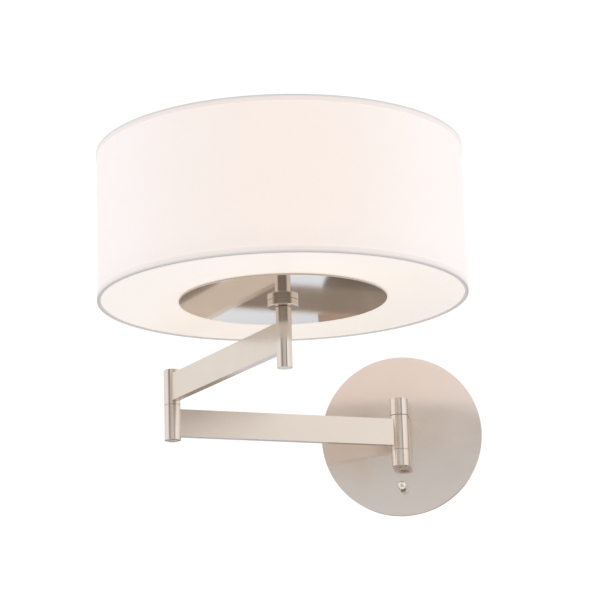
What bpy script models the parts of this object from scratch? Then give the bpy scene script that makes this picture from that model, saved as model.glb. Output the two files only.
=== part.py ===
"""Wall-mounted swing-arm lamp: round wall plate, two hinged arms and a drum shade over a mirror disc."""

import math

import bmesh
import bpy
from mathutils import Matrix, Vector

MM = 0.001

# --- Driving dimensions, millimetres ---------------------------------------------------------
GAP = 0.25              # running or seating clearance between two neighbouring pieces

PLATE_RADIUS = 76.2
PLATE_DEPTH = 4.5       # wall to front face
PLATE_SKIN = 1.5
PLATE_RIM = 2.2         # width of the rim that rests on the wall
PLATE_EDGE = 0.5

STRAP_HEIGHT = 17.0
STRAP_THICK = 1.2
STRAP_TAB = 1.5
BOX_SCREW_SPACING = 88.9
BOX_SCREW_RADIUS = 2.05
BOX_SCREW_LENGTH = 22.0
SLOT_EXTRA = 6.0        # how far a box screw can be moved along its slot
EARTH_SCREW_X = 22.0
EARTH_SCREW_RADIUS = 1.7
GRUB_RADIUS = 1.2
GRUB_LENGTH = 6.7
BRACKET_SCREW_LEVELS = (20.0, -13.5)   # screws from behind the plate into the bracket

STANDOFF = 17.2         # plate's front face to the wall hinge's axis
KNUCKLE_RADIUS = 8.5
ELBOW_RADIUS = 7.5
STEM_RADIUS = 6.5
SECTION = 32.0          # height of one hinge section, and the step from one arm to the next
BUSH_FLANGE = 0.6
BUSH_WALL = 1.1
KNUCKLE_PIN_RADIUS = 4.2
ELBOW_PIN_RADIUS = 3.7
PIN_WALL = 1.6
PIN_HEAD = 0.8
STOP_RADIUS = 1.2       # stop screws that run in an arc groove of each hinge pin
STOP_DEPTH = 0.75
WALL_STOP_LEVEL = 7.6
ELBOW_STOP_DROP = 6.0   # elbow's stop screw below the upper arm's centre
ELBOW_PIN_RISE = 2.0    # top of the elbow's pin above the upper arm's centre

ARM_LENGTH = 225.0      # hinge axis to hinge axis, both arms
BAR_HEIGHT = 25.0
BAR_THICK = 7.0
BAR_WALL = 1.0
LOWER_HEADING = 209.06  # degrees from +X, seen from above
UPPER_HEADING = 305.11
WALL_STOPS = (180.0, 360.0)    # headings of the lower arm at its stops
ELBOW_STOPS = (-125.0, 125.0)  # turn of the upper arm from straight at its stops

STEM_BELOW = 26.6       # stem barrel below and above the upper arm's centre
STEM_ABOVE = 24.2
TUBE_RADIUS = 5.0
TUBE_WALL = 1.2
COLLAR_RADIUS = 13.0
COLLAR_HEIGHT = 5.2
DISC_RADIUS = 86.0
DISC_THICK = 1.2

SHADE_RADIUS = 152.4    # over the hems
SHADE_HEIGHT = 126.5
SHADE_WALL = 0.8
HEM_SKIN = 0.55
HEM_HEIGHT = 5.0
DIFFUSER_THICK = 3.0
DIFFUSER_MARGIN = 0.4   # diffuser's edge to the hem
WIRE_RADIUS = 1.3       # shade rings
SPIDER_DROP = 8.0       # shade's top edge down to the spider's hub
SPIDER_ARMS = 3

CLUSTER_RADIUS = 15.0
CLUSTER_HEIGHT = 24.0
HOLDER_RADIUS = 11.0
HOLDER_LENGTH = 34.0
HOLDER_WALL = 2.0
BASE_RADIUS = 6.5
BASE_LENGTH = 22.0
BULB_RADIUS = 25.0
BULB_GLASS = 1.0
LEAD_RADIUS = 1.6

SWITCH_DROP = 52.0      # plate's centre down to the switch
SWITCH_WIDTH = 13.0
SWITCH_HEIGHT = 18.0
SWITCH_DEPTH = 20.0
BUSHING_RADIUS = 3.0
BUSHING_OUT = 5.0       # bushing in front of the plate
LEVER_REACH = 11.5      # pivot to the centre of the ball
LEVER_BALL = 4.1
LEVER_TILT = 12.5       # degrees up from straight out, at rest
LEVER_SINK = 2.6        # pivot behind the bushing's mouth

WIDE_SIDES = 64         # sides of the large rounds, the barrels and the pins
BARREL_SIDES = 32
PIN_SIDES = 20

# --- Derived levels and places ---------------------------------------------------------------
PLATE_INSIDE = PLATE_DEPTH - PLATE_SKIN
HINGE_OUT = PLATE_DEPTH + STANDOFF
UPPER_LEVEL = SECTION
SPLIT = BUSH_FLANGE + 2 * GAP      # space between two hinge sections
HALF_SECTION = SECTION / 2
STEM_BOTTOM = UPPER_LEVEL - STEM_BELOW
STEM_TOP = UPPER_LEVEL + STEM_ABOVE
COLLAR_BOTTOM = STEM_TOP + GAP
DISC_BOTTOM = COLLAR_BOTTOM + COLLAR_HEIGHT + GAP
DIFFUSER_BOTTOM = DISC_BOTTOM + DISC_THICK + GAP
SHADE_BOTTOM = DISC_BOTTOM + DISC_THICK / 2
SHADE_TOP = SHADE_BOTTOM + SHADE_HEIGHT
CLUSTER_LEVEL = (SHADE_BOTTOM + SHADE_TOP) / 2
SPIDER_LEVEL = SHADE_TOP - SPIDER_DROP
TUBE_HOLE = TUBE_RADIUS + GAP
HEM_INSIDE = SHADE_RADIUS - 2 * HEM_SKIN - 2 * GAP - SHADE_WALL
LEAD_LEVEL = -(HALF_SECTION + SPLIT / 2 + 9.2)
GRUB_OUT = PLATE_INSIDE / 2
GRUB_END = PLATE_RADIUS - 0.3
GRUB_INNER_END = GRUB_END - GRUB_LENGTH
ELBOW_STOP_LEVEL = UPPER_LEVEL - ELBOW_STOP_DROP
ELBOW_PIN_TOP = UPPER_LEVEL + ELBOW_PIN_RISE


def heading(degrees):
    """Unit vector in plan."""
    return Vector((math.cos(math.radians(degrees)), math.sin(math.radians(degrees)), 0.0))


KNUCKLE = Vector((0.0, -HINGE_OUT, 0.0))
ELBOW = KNUCKLE + ARM_LENGTH * heading(LOWER_HEADING)
STEM = ELBOW + ARM_LENGTH * heading(UPPER_HEADING)
LEVER_PIVOT = Vector((0.0, LEVER_SINK - BUSHING_OUT - PLATE_DEPTH, -SWITCH_DROP))

FACE_OUT = Matrix.Rotation(math.radians(90), 4, "X")       # local +Z comes out of the wall


# --- Tools -----------------------------------------------------------------------------------
def clear_scene():
    for obj in list(bpy.data.objects):
        bpy.data.objects.remove(obj)


def material(name, colour, roughness, metallic):
    made = bpy.data.materials.new(name)
    made.use_nodes = True
    shader = made.node_tree.nodes["Principled BSDF"]
    shader.inputs["Base Color"].default_value = (*colour, 1.0)
    shader.inputs["Roughness"].default_value = roughness
    shader.inputs["Metallic"].default_value = metallic
    return made


def finish(name, mesh, place, look):
    """Object from a bmesh in millimetres, placed by a matrix whose translation is in millimetres."""
    bmesh.ops.recalc_face_normals(mesh, faces=mesh.faces)
    bmesh.ops.scale(mesh, vec=(MM, MM, MM), verts=mesh.verts)
    data = bpy.data.meshes.new(name)
    mesh.to_mesh(data)
    mesh.free()
    obj = bpy.data.objects.new(name, data)
    bpy.context.scene.collection.objects.link(obj)
    turned = place.copy()
    turned.translation = place.translation * MM
    obj.matrix_world = turned
    data.shade_smooth()
    data.set_sharp_from_angle(angle=math.radians(35))
    if look:
        data.materials.append(material(name, *look))
    return obj


def at(point, turn=None):
    return Matrix.Translation(point) @ (turn or Matrix.Identity(4))


def lathe(name, profile, sides, place, look):
    """Solid of revolution about local Z from a closed loop of (radius, height) points."""
    mesh = bmesh.new()
    points = [mesh.verts.new((r, 0.0, z)) for r, z in profile]
    edges = []
    for a, b in zip(points, points[1:] + points[:1]):
        if max(a.co.x, b.co.x) > 1e-6:
            edges.append(mesh.edges.new((a, b)))
    bmesh.ops.spin(
        mesh, geom=edges + points, cent=(0, 0, 0), axis=(0, 0, 1),
        angle=math.tau, steps=sides, use_merge=True,
    )
    bmesh.ops.remove_doubles(mesh, verts=mesh.verts, dist=1e-5)
    return finish(name, mesh, place, look)


def ring_profile(inner, outer, low, high, edge=0.0):
    """Loop of a ring or, with inner 0, of a disc, with its outer corners cut back."""
    if not edge:
        return [(inner, low), (outer, low), (outer, high), (inner, high)]
    return [
        (inner, low), (outer - edge, low), (outer, low + edge),
        (outer, high - edge), (outer - edge, high), (inner, high),
    ]


def ring(name, inner, outer, low, high, sides, point, look, edge=0.0, turn=None):
    return lathe(name, ring_profile(inner, outer, low, high, edge), sides, at(point, turn), look)


def rod(name, radius, low, high, sides, point, look=None, turn=None, edge=0.0):
    return ring(name, 0.0, radius, low, high, sides, point, look, edge, turn)


def block(name, size, place, look=None):
    mesh = bmesh.new()
    bmesh.ops.create_cube(mesh, size=1.0)
    bmesh.ops.scale(mesh, vec=size, verts=mesh.verts)
    return finish(name, mesh, place, look)


def torus(name, radius, wire, sides, wire_sides, point, look=None):
    loop = [
        (radius + wire * math.cos(math.tau * i / wire_sides), wire * math.sin(math.tau * i / wire_sides))
        for i in range(wire_sides)
    ]
    return lathe(name, loop, sides, at(point), look)


def lead(name, points, look):
    """Round lead along straight runs."""
    curve = bpy.data.curves.new(name, "CURVE")
    curve.dimensions = "3D"
    curve.bevel_depth = LEAD_RADIUS * MM
    curve.bevel_resolution = 1
    curve.use_fill_caps = True
    run = curve.splines.new("POLY")
    run.points.add(len(points) - 1)
    for spot, place in zip(run.points, points):
        spot.co = (*(Vector(place) * MM), 1.0)
    obj = bpy.data.objects.new(name, curve)
    bpy.context.scene.collection.objects.link(obj)
    curve.materials.append(material(name, *look))
    return obj


def hang(carrier, obj):
    """Parents a piece where it is, so that it follows its carrier."""
    obj.parent = carrier
    obj.matrix_parent_inverse = carrier.matrix_world.inverted()


def pivot(name, point):
    """Empty on a joint's axis."""
    made = bpy.data.objects.new(name, None)
    made.empty_display_size = 20 * MM
    bpy.context.scene.collection.objects.link(made)
    made.matrix_world = Matrix.Translation(point * MM)
    return made


def build_on(carrier, *makers):
    """Runs the makers and hangs all that they made on the carrier."""
    before = set(bpy.data.objects)
    for make in makers:
        make()
    for obj in [made for made in bpy.data.objects if made not in before]:
        if obj.parent is None:
            hang(carrier, obj)


def boolean(obj, other, operation):
    made = obj.modifiers.new(other.name, "BOOLEAN")
    made.operation = operation
    made.solver = "EXACT"
    made.object = other
    other.hide_render = True
    other.display_type = "WIRE"
    hang(obj, other)


def cut(obj, *others):
    for other in others:
        boolean(obj, other, "DIFFERENCE")


def join(obj, *others):
    for other in others:
        boolean(obj, other, "UNION")


def bevel(obj, width, segments=1, angle=30):
    made = obj.modifiers.new("bevel", "BEVEL")
    made.width = width * MM
    made.segments = segments
    made.limit_method = "ANGLE"
    made.angle_limit = math.radians(angle)


def along(degrees):
    """Turn that lays local +Z along a heading, with local +X up."""
    d = heading(degrees)
    up = Vector((0, 0, 1))
    side = d.cross(up)
    return Matrix((
        (up.x, side.x, d.x, 0), (up.y, side.y, d.y, 0), (up.z, side.z, d.z, 0), (0, 0, 0, 1),
    ))


def yaw(degrees):
    return Matrix.Rotation(math.radians(degrees), 4, "Z")


# --- Finishes --------------------------------------------------------------------------------
NICKEL = ((0.62, 0.54, 0.47), 0.30, 1.0)
MIRROR = ((0.80, 0.76, 0.72), 0.08, 1.0)
STEEL = ((0.55, 0.55, 0.56), 0.38, 1.0)
ZINC = ((0.66, 0.66, 0.64), 0.42, 1.0)
BRASS = ((0.72, 0.53, 0.24), 0.30, 1.0)
EARTH_GREEN = ((0.05, 0.30, 0.10), 0.45, 0.0)
BRONZE = ((0.50, 0.36, 0.20), 0.40, 1.0)
FABRIC = ((0.92, 0.89, 0.85), 0.90, 0.0)
TRIM = ((0.80, 0.77, 0.74), 0.85, 0.0)
ACRYLIC = ((0.95, 0.92, 0.88), 0.35, 0.0)
FROSTED = ((0.96, 0.93, 0.88), 0.40, 0.0)
PHENOLIC = ((0.85, 0.83, 0.78), 0.50, 0.0)
DARK = ((0.04, 0.04, 0.045), 0.50, 0.0)
WHITE_WIRE = ((0.80, 0.80, 0.78), 0.60, 0.0)


# --- Wall side -------------------------------------------------------------------------------
def wall_plate():
    hollow = PLATE_RADIUS - PLATE_RIM
    loop = [
        (0, PLATE_INSIDE), (hollow, PLATE_INSIDE), (hollow, 0), (PLATE_RADIUS - PLATE_EDGE, 0),
        (PLATE_RADIUS, PLATE_EDGE), (PLATE_RADIUS, PLATE_DEPTH - PLATE_EDGE),
        (PLATE_RADIUS - PLATE_EDGE, PLATE_DEPTH), (0, PLATE_DEPTH),
    ]
    plate = lathe("wall_plate", loop, WIDE_SIDES, at((0, 0, 0), FACE_OUT), NICKEL)
    holes = [
        rod(f"plate_hole_{i}", radius, -1, PLATE_DEPTH + 1, 20, (0, 0, z), turn=FACE_OUT)
        for i, (radius, z) in enumerate((
            (2.0 + GAP, BRACKET_SCREW_LEVELS[0]), (2.0 + GAP, BRACKET_SCREW_LEVELS[1]),
            (LEAD_RADIUS + 1.2, LEAD_LEVEL), (BUSHING_RADIUS + GAP, -SWITCH_DROP),
        ))
    ]
    sides = [
        rod(f"plate_side_{i}", GRUB_RADIUS + GAP, PLATE_RADIUS - PLATE_RIM - 2, PLATE_RADIUS + 2, 16,
            (0, -GRUB_OUT, 0), turn=along(180 * i))
        for i in range(2)
    ]
    cut(plate, *holes, *sides)


def mounting_strap():
    half = math.sqrt((PLATE_RADIUS - PLATE_RIM) ** 2 - (STRAP_HEIGHT / 2) ** 2) - GAP
    strap = block(
        "mounting_strap", (2 * half, STRAP_THICK, STRAP_HEIGHT),
        at((0, -STRAP_THICK / 2, 0)), ZINC,
    )
    tall = PLATE_INSIDE - GAP
    for i, side in enumerate((1, -1)):
        tab = block(
            f"strap_tab_{i}", (STRAP_TAB, tall, STRAP_HEIGHT - 2),
            at((side * (half - STRAP_TAB / 2 - 0.05), -tall / 2 - 0.02, 0)),
        )
        join(strap, tab)
    for i, side in enumerate((1, -1)):
        x = side * BOX_SCREW_SPACING / 2
        radius = BOX_SCREW_RADIUS + GAP + 0.1
        slot = block(f"strap_slot_{i}", (SLOT_EXTRA, 8, 2 * radius), at((x, 0, 0)))
        ends = [
            rod(f"strap_slot_{i}_{j}", radius, -4, 4, 16, (x + e * SLOT_EXTRA / 2, 0, 0), turn=FACE_OUT)
            for j, e in enumerate((1, -1))
        ]
        grub = rod(
            f"strap_grub_{i}", GRUB_RADIUS + GAP, GRUB_INNER_END - GAP, half + 2, 12,
            (0, -GRUB_OUT, 0), turn=along(180 * i),
        )
        cut(strap, slot, *ends, grub)
    cut(strap, rod("strap_earth", EARTH_SCREW_RADIUS + GAP, -4, 4, 12, (EARTH_SCREW_X, 0, 0), turn=FACE_OUT))


def headed_screw(name, shank, length, head, height, sides, place, look):
    """Screw with its head above local Z 0 and its shank below."""
    loop = [
        (0, -length), (shank - 0.4, -length), (shank, 0.4 - length), (shank, 0), (head, 0),
        (head, height * 0.5), (head * 0.75, height), (0, height),
    ]
    return lathe(name, loop, sides, place, look)


def wall_fixings():
    seat = STRAP_THICK + GAP
    height = PLATE_INSIDE - GAP - seat
    for name, side in (("box_screw_right", 1), ("box_screw_left", -1)):
        headed_screw(
            name, BOX_SCREW_RADIUS, BOX_SCREW_LENGTH, 4.3, height, 12,
            at((side * BOX_SCREW_SPACING / 2, -seat, 0), FACE_OUT), ZINC,
        )
    headed_screw(
        "earth_screw", EARTH_SCREW_RADIUS, 9.0, 3.2, height, 6,
        at((EARTH_SCREW_X, -seat, 0), FACE_OUT), EARTH_GREEN,
    )
    for name, turn in (("plate_grub_right", 0), ("plate_grub_left", 180)):
        rod(
            name, GRUB_RADIUS, GRUB_INNER_END, GRUB_END, 12,
            (0, -GRUB_OUT, 0), STEEL, along(turn), 0.25,
        )
    for name, level in zip(("bracket_screw_upper", "bracket_screw_lower"), BRACKET_SCREW_LEVELS):
        headed_screw(
            name, 2.0, 6.5, 3.6, 2.0, 12,
            at((0, GAP - PLATE_INSIDE, level), FACE_OUT @ Matrix.Rotation(math.pi, 4, "X")), ZINC,
        )


def nosed_block(name, point, radius, back, low, high, look):
    """Block with a half-round nose about a point in plan, running square to the plane y = back."""
    mesh = bmesh.new()
    steps = 24
    outline = [
        (point.x - radius * math.cos(math.pi * i / steps), point.y - radius * math.sin(math.pi * i / steps))
        for i in range(steps + 1)
    ]
    outline += [(point.x + radius, back), (point.x - radius, back)]
    face = mesh.faces.new([mesh.verts.new((x, y, low)) for x, y in outline])
    raised = bmesh.ops.extrude_face_region(mesh, geom=[face])["geom"]
    lifted = [v for v in raised if isinstance(v, bmesh.types.BMVert)]
    bmesh.ops.translate(mesh, vec=(0, 0, high - low), verts=lifted)
    return finish(name, mesh, at((0, 0, 0)), look)


def wall_bracket():
    """Clevis: two round-nosed ears and the web behind the lower arm's barrel."""
    bracket = nosed_block(
        "wall_bracket", KNUCKLE, KNUCKLE_RADIUS, -PLATE_DEPTH - GAP, -SECTION, SECTION, NICKEL,
    )
    reach = KNUCKLE_RADIUS + 2 * GAP
    mouth = HALF_SECTION + SPLIT / 2
    throat = block(
        "bracket_throat", (4 * reach, 4 * reach, 2 * mouth), at((0, reach - HINGE_OUT - 2 * reach, 0)),
    )
    upper = rod("bracket_upper_bore", KNUCKLE_PIN_RADIUS + GAP, 0, SECTION + 5, 24, KNUCKLE)
    lower = rod("bracket_lower_bore", KNUCKLE_PIN_RADIUS + GAP, -SECTION - 5, 0, 24, KNUCKLE)
    wire = rod(
        "bracket_wire", LEAD_RADIUS + 0.8, 0, HINGE_OUT, 14, (0, 0, LEAD_LEVEL), turn=FACE_OUT,
    )
    cut(bracket, throat, upper, lower, wire)
    for i, level in enumerate(BRACKET_SCREW_LEVELS):
        cut(bracket, rod(f"bracket_tap_{i}", 2.0 + GAP, 0, PLATE_DEPTH + 6, 14, (0, 0, level), turn=FACE_OUT))


def hex_nut(name, low, high, look):
    made = rod(name, 9.0, low, high, 6, STEM, look)
    cut(made, rod(name + "_bore", TUBE_HOLE, low - 2, high + 2, 24, STEM))


def stop_groove(name, radius, low, high, start, end, point):
    """Cutter for an arc groove round a pin, from one heading to another."""
    floor = radius - STOP_DEPTH - GAP
    half = math.degrees(math.asin((STOP_RADIUS + GAP) / (floor + GAP))) + 1.0
    start, end = start - half, end + half
    steps = 18
    mesh = bmesh.new()
    corners = [(floor, low), (radius + 2, low), (radius + 2, high), (floor, high)]
    points = [mesh.verts.new((r, 0, z)) for r, z in corners]
    face = mesh.faces.new(points)
    bmesh.ops.rotate(mesh, verts=points, cent=(0, 0, 0), matrix=yaw(start).to_3x3())
    bmesh.ops.spin(
        mesh, geom=[face, *face.edges, *face.verts], cent=(0, 0, 0), axis=(0, 0, 1),
        angle=math.radians(end - start), steps=steps, use_duplicate=False,
    )
    return finish(name, mesh, at(point), None)


def wall_pins():
    head = KNUCKLE_PIN_RADIUS + 1.0
    r = KNUCKLE_PIN_RADIUS
    top = SECTION + GAP + PIN_HEAD
    upper = lathe(
        "wall_pin_upper",
        [(0, 4.6), (r - 0.4, 4.6), (r, 5.0), (r, top - PIN_HEAD), (head, top - PIN_HEAD), (head, top - 0.3),
         (head - 0.3, top), (0, top)],
        PIN_SIDES, at(KNUCKLE), NICKEL,
    )
    groove = STOP_RADIUS + GAP
    cut(upper, stop_groove(
        "wall_groove", r, WALL_STOP_LEVEL - groove, WALL_STOP_LEVEL + groove,
        WALL_STOPS[0] - 180, WALL_STOPS[1] - 180, KNUCKLE,
    ))
    bore = r - PIN_WALL
    lower = lathe(
        "wall_pin_lower",
        [(0, -top), (head - 0.3, -top), (head, 0.3 - top), (head, PIN_HEAD - top), (r, PIN_HEAD - top),
         (r, -5.4), (r - 0.4, -5.0), (bore, -5.0), (bore, LEAD_LEVEL - 2.6), (0, LEAD_LEVEL - 2.6)],
        PIN_SIDES, at(KNUCKLE), NICKEL,
    )
    side = (0, -HINGE_OUT, LEAD_LEVEL)
    cut(lower, rod("wall_pin_wire", LEAD_RADIUS + 0.6, 0, 12, 12, side, turn=along(90)))


def elbow_pin():
    r = ELBOW_PIN_RADIUS
    groove = STOP_RADIUS + GAP
    bore = r - PIN_WALL + 0.2
    foot = -HALF_SECTION - GAP
    elbow = lathe(
        "elbow_pin",
        [(0, foot - PIN_HEAD), (r + 0.6, foot - PIN_HEAD), (r + 0.9, foot - PIN_HEAD + 0.3), (r + 0.9, foot),
         (r, foot), (r, ELBOW_PIN_TOP - 0.4), (r - 0.4, ELBOW_PIN_TOP), (bore, ELBOW_PIN_TOP),
         (bore, -4.0), (0, -4.0)],
        PIN_SIDES, at(ELBOW), NICKEL,
    )
    centre = LOWER_HEADING + 180
    cut(
        elbow,
        stop_groove(
            "elbow_groove", r, ELBOW_STOP_LEVEL - groove, ELBOW_STOP_LEVEL + groove,
            centre + ELBOW_STOPS[0], centre + ELBOW_STOPS[1], ELBOW,
        ),
        rod("elbow_pin_wire", LEAD_RADIUS + 0.3, 0, 8, 12, ELBOW, turn=along(centre)),
    )


def switch():
    front = PLATE_INSIDE - GAP
    body = block(
        "switch_body", (SWITCH_WIDTH, SWITCH_DEPTH, SWITCH_HEIGHT),
        at((0, SWITCH_DEPTH / 2 - front, -SWITCH_DROP)), DARK,
    )
    bevel(body, 0.8)
    centre = (0, 0, -SWITCH_DROP)
    start = PLATE_INSIDE + 0.1
    end = PLATE_DEPTH + BUSHING_OUT
    bore = BUSHING_RADIUS - 0.75
    lathe(
        "switch_bushing",
        [(0, start), (BUSHING_RADIUS, start), (BUSHING_RADIUS, end - 0.4), (BUSHING_RADIUS - 0.4, end),
         (bore, end), (bore, start + 1.0), (0, start + 1.0)],
        20, at(centre, FACE_OUT), NICKEL,
    )
    nut = PLATE_DEPTH + GAP
    ring("switch_nut", BUSHING_RADIUS + GAP, 4.5, nut, nut + 1.5, 24, centre, NICKEL, 0.3, FACE_OUT)


def switch_lever():
    pivot = 1.8
    neck = 1.1
    ball = LEVER_BALL
    join_angle = math.asin(neck / ball)
    arc = [
        (ball * math.sin(a), LEVER_REACH - ball * math.cos(a))
        for a in (join_angle + (math.pi - join_angle) * i / 7 for i in range(8))
    ]
    arc[-1] = (0.0, arc[-1][1])
    low = [
        (pivot * math.sin(a), -pivot * math.cos(a))
        for a in ((math.pi - math.asin(neck / pivot)) * i / 5 for i in range(6))
    ]
    low[0] = (0.0, low[0][1])
    turn = Matrix.Rotation(math.radians(90 - LEVER_TILT), 4, "X")
    lathe("switch_lever", low + arc, 16, at(LEVER_PIVOT, turn), NICKEL)


# --- Arms ------------------------------------------------------------------------------------
def barrel(name, radius, bore, low, high, point, look=NICKEL):
    loop = [
        (bore, low), (radius - 0.3, low), (radius, low + 0.3), (radius, high - 0.3),
        (radius - 0.3, high), (bore, high),
    ]
    return lathe(name, loop, BARREL_SIDES, at(point), look)


def window(name, point, degrees, level, width, height, reach=14):
    d = heading(degrees)
    return block(
        name, (reach, width, height),
        Matrix.Translation(point + d * reach / 2 + Vector((0, 0, level))) @ yaw(degrees),
    )


def flanged_bush(name, inner, outer, flange, face, length, up, point):
    """Bush whose flange lies at level face and whose sleeve runs on by length, up or down."""
    s = 1 if up else -1
    loop = [
        (inner, face), (flange, face), (flange, face + s * BUSH_FLANGE), (outer, face + s * BUSH_FLANGE),
        (outer, face + s * (BUSH_FLANGE + length)), (inner, face + s * (BUSH_FLANGE + length)),
    ]
    return lathe(name, loop, PIN_SIDES, at(point), BRONZE)


def stop_screw(name, radius, pin, level, degrees, point):
    rod(
        name, STOP_RADIUS, pin - STOP_DEPTH, radius - 0.4, 12,
        point + Vector((0, 0, level)), STEEL, along(degrees), 0.2,
    )


def bar(name, start, end, degrees, level, start_radius, end_radius):
    middle = (start + end) / 2 + Vector((0, 0, level))
    place = Matrix.Translation(middle) @ yaw(degrees)
    made = block(name, (ARM_LENGTH, BAR_THICK, BAR_HEIGHT), place, NICKEL)
    bevel(made, 0.4)
    inside = block(
        name + "_hollow", (ARM_LENGTH + 20, BAR_THICK - 2 * BAR_WALL, BAR_HEIGHT - 2 * BAR_WALL), place,
    )
    high = Vector((0, 0, level))
    cut(
        made, inside,
        rod(name + "_start", start_radius + GAP, -BAR_HEIGHT, BAR_HEIGHT, BARREL_SIDES, start + high),
        rod(name + "_end", end_radius + GAP, -BAR_HEIGHT, BAR_HEIGHT, BARREL_SIDES, end + high),
    )


def lower_arm():
    bar("lower_arm_bar", KNUCKLE, ELBOW, LOWER_HEADING, 0, KNUCKLE_RADIUS, ELBOW_RADIUS)
    pin, bush = KNUCKLE_PIN_RADIUS, KNUCKLE_PIN_RADIUS + GAP + BUSH_WALL
    bore = bush + GAP
    end = HALF_SECTION - SPLIT / 2
    wall_barrel = barrel("lower_wall_barrel", KNUCKLE_RADIUS, bore, -end, end, KNUCKLE)
    cut(
        wall_barrel,
        window("wall_barrel_window", KNUCKLE, LOWER_HEADING, 0, 4.6, 12),
        rod("wall_barrel_stop", STOP_RADIUS + GAP, 3, 12, 12,
            KNUCKLE + Vector((0, 0, WALL_STOP_LEVEL)), turn=along(LOWER_HEADING + 180)),
    )
    face = end + GAP + BUSH_FLANGE
    flanged_bush("wall_bush_upper", pin + GAP, bush, KNUCKLE_RADIUS - 0.5, face, 5.4, False, KNUCKLE)
    flanged_bush("wall_bush_lower", pin + GAP, bush, KNUCKLE_RADIUS - 0.5, -face, 8.0, True, KNUCKLE)
    stop_screw("wall_stop_screw", KNUCKLE_RADIUS, pin, WALL_STOP_LEVEL, LOWER_HEADING + 180, KNUCKLE)

    elbow_barrel = barrel(
        "lower_elbow_barrel", ELBOW_RADIUS, ELBOW_PIN_RADIUS + GAP,
        -HALF_SECTION, HALF_SECTION - SPLIT / 2, ELBOW,
    )
    cut(elbow_barrel, window("elbow_barrel_window", ELBOW, LOWER_HEADING + 180, 0, 4.2, 10))
    inward = heading(LOWER_HEADING)
    lead(
        "lower_arm_lead",
        [KNUCKLE + Vector((0, 0, -3.6)), KNUCKLE, KNUCKLE + inward * ARM_LENGTH,
         ELBOW + Vector((0, 0, ELBOW_PIN_TOP - 3))],
        WHITE_WIRE,
    )


def upper_arm():
    bar("upper_arm_bar", ELBOW, STEM, UPPER_HEADING, UPPER_LEVEL, ELBOW_RADIUS, STEM_RADIUS)
    pin, bush = ELBOW_PIN_RADIUS, ELBOW_PIN_RADIUS + GAP + BUSH_WALL
    bore = bush + GAP
    low = HALF_SECTION + SPLIT / 2
    high = UPPER_LEVEL + HALF_SECTION
    elbow_barrel = barrel("upper_elbow_barrel", ELBOW_RADIUS, bore, low, high, ELBOW)
    cut(
        elbow_barrel,
        window("upper_barrel_window", ELBOW, UPPER_HEADING, UPPER_LEVEL + 7, 4.2, 6),
        rod("upper_barrel_stop", STOP_RADIUS + GAP, 3, 12, 12,
            ELBOW + Vector((0, 0, ELBOW_STOP_LEVEL)), turn=along(UPPER_HEADING + 180)),
    )
    face = low - GAP - BUSH_FLANGE
    flanged_bush("elbow_bush_lower", pin + GAP, bush, ELBOW_RADIUS - 0.5, face, 6.0, True, ELBOW)
    ring(
        "elbow_bush_upper", pin + GAP, bush, ELBOW_STOP_LEVEL + 2.2, ELBOW_PIN_TOP - 0.5, PIN_SIDES,
        ELBOW, BRONZE,
    )
    stop_screw("elbow_stop_screw", ELBOW_RADIUS, pin, ELBOW_STOP_LEVEL, UPPER_HEADING + 180, ELBOW)
    seat = high + GAP
    lathe(
        "elbow_top_cap",
        [(0, high - 3), (bore - GAP, high - 3), (bore - GAP, seat), (ELBOW_RADIUS - 0.6, seat),
         (ELBOW_RADIUS - 0.6, seat + 0.5), (ELBOW_RADIUS - 1.0, seat + 0.9), (0, seat + 0.9)],
        PIN_SIDES, at(ELBOW), NICKEL,
    )

    tube_bore = TUBE_RADIUS + GAP
    stem = barrel("stem_barrel", STEM_RADIUS, tube_bore, STEM_BOTTOM, STEM_TOP, STEM)
    cut(stem, window("stem_window", STEM, UPPER_HEADING + 180, UPPER_LEVEL + 7, 4.2, 6))
    rod("stem_plug", tube_bore - GAP, STEM_BOTTOM, STEM_BOTTOM + 5, PIN_SIDES, STEM, NICKEL, edge=0.3)
    level = Vector((0, 0, UPPER_LEVEL + 7))
    lead(
        "upper_arm_lead",
        [ELBOW + Vector((0, 0, ELBOW_PIN_TOP + 0.6)), ELBOW + level, STEM + level,
         STEM + Vector((0, 0, CLUSTER_LEVEL - 4))],
        WHITE_WIRE,
    )


# --- Head ------------------------------------------------------------------------------------
def head_stack():
    """Threaded tube with what is clamped on it."""
    ring(
        "stem_tube", TUBE_RADIUS - TUBE_WALL, TUBE_RADIUS, STEM_TOP - 10, SPIDER_LEVEL + 6, PIN_SIDES,
        STEM, ZINC,
    )
    ring(
        "stem_collar", TUBE_HOLE, COLLAR_RADIUS, COLLAR_BOTTOM, COLLAR_BOTTOM + COLLAR_HEIGHT, BARREL_SIDES,
        STEM, NICKEL, 0.7,
    )
    ring(
        "mirror_disc", TUBE_HOLE, DISC_RADIUS, DISC_BOTTOM, DISC_BOTTOM + DISC_THICK, WIDE_SIDES,
        STEM, MIRROR,
    )
    top = DIFFUSER_BOTTOM + DIFFUSER_THICK
    ring(
        "diffuser", TUBE_HOLE, HEM_INSIDE - DIFFUSER_MARGIN, DIFFUSER_BOTTOM, top, WIDE_SIDES, STEM, ACRYLIC,
    )
    hex_nut("clamp_nut", top + GAP, top + GAP + 4, ZINC)
    below = CLUSTER_LEVEL - CLUSTER_HEIGHT / 2 - GAP
    hex_nut("cluster_nut", below - 4, below, ZINC)
    hex_nut("spider_nut", SPIDER_LEVEL - 1 - GAP - 4, SPIDER_LEVEL - 1 - GAP, ZINC)
    low = SPIDER_LEVEL + 1 + GAP
    lathe(
        "finial",
        [(TUBE_HOLE, low), (9.0, low), (9.5, low + 0.5), (9.5, low + 3.6), (8.6, low + 4.6), (5.0, low + 7.0),
         (0, low + 7.4), (0, low + 5.4), (TUBE_HOLE, low + 5.2)],
        PIN_SIDES, at(STEM), NICKEL,
    )


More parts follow.
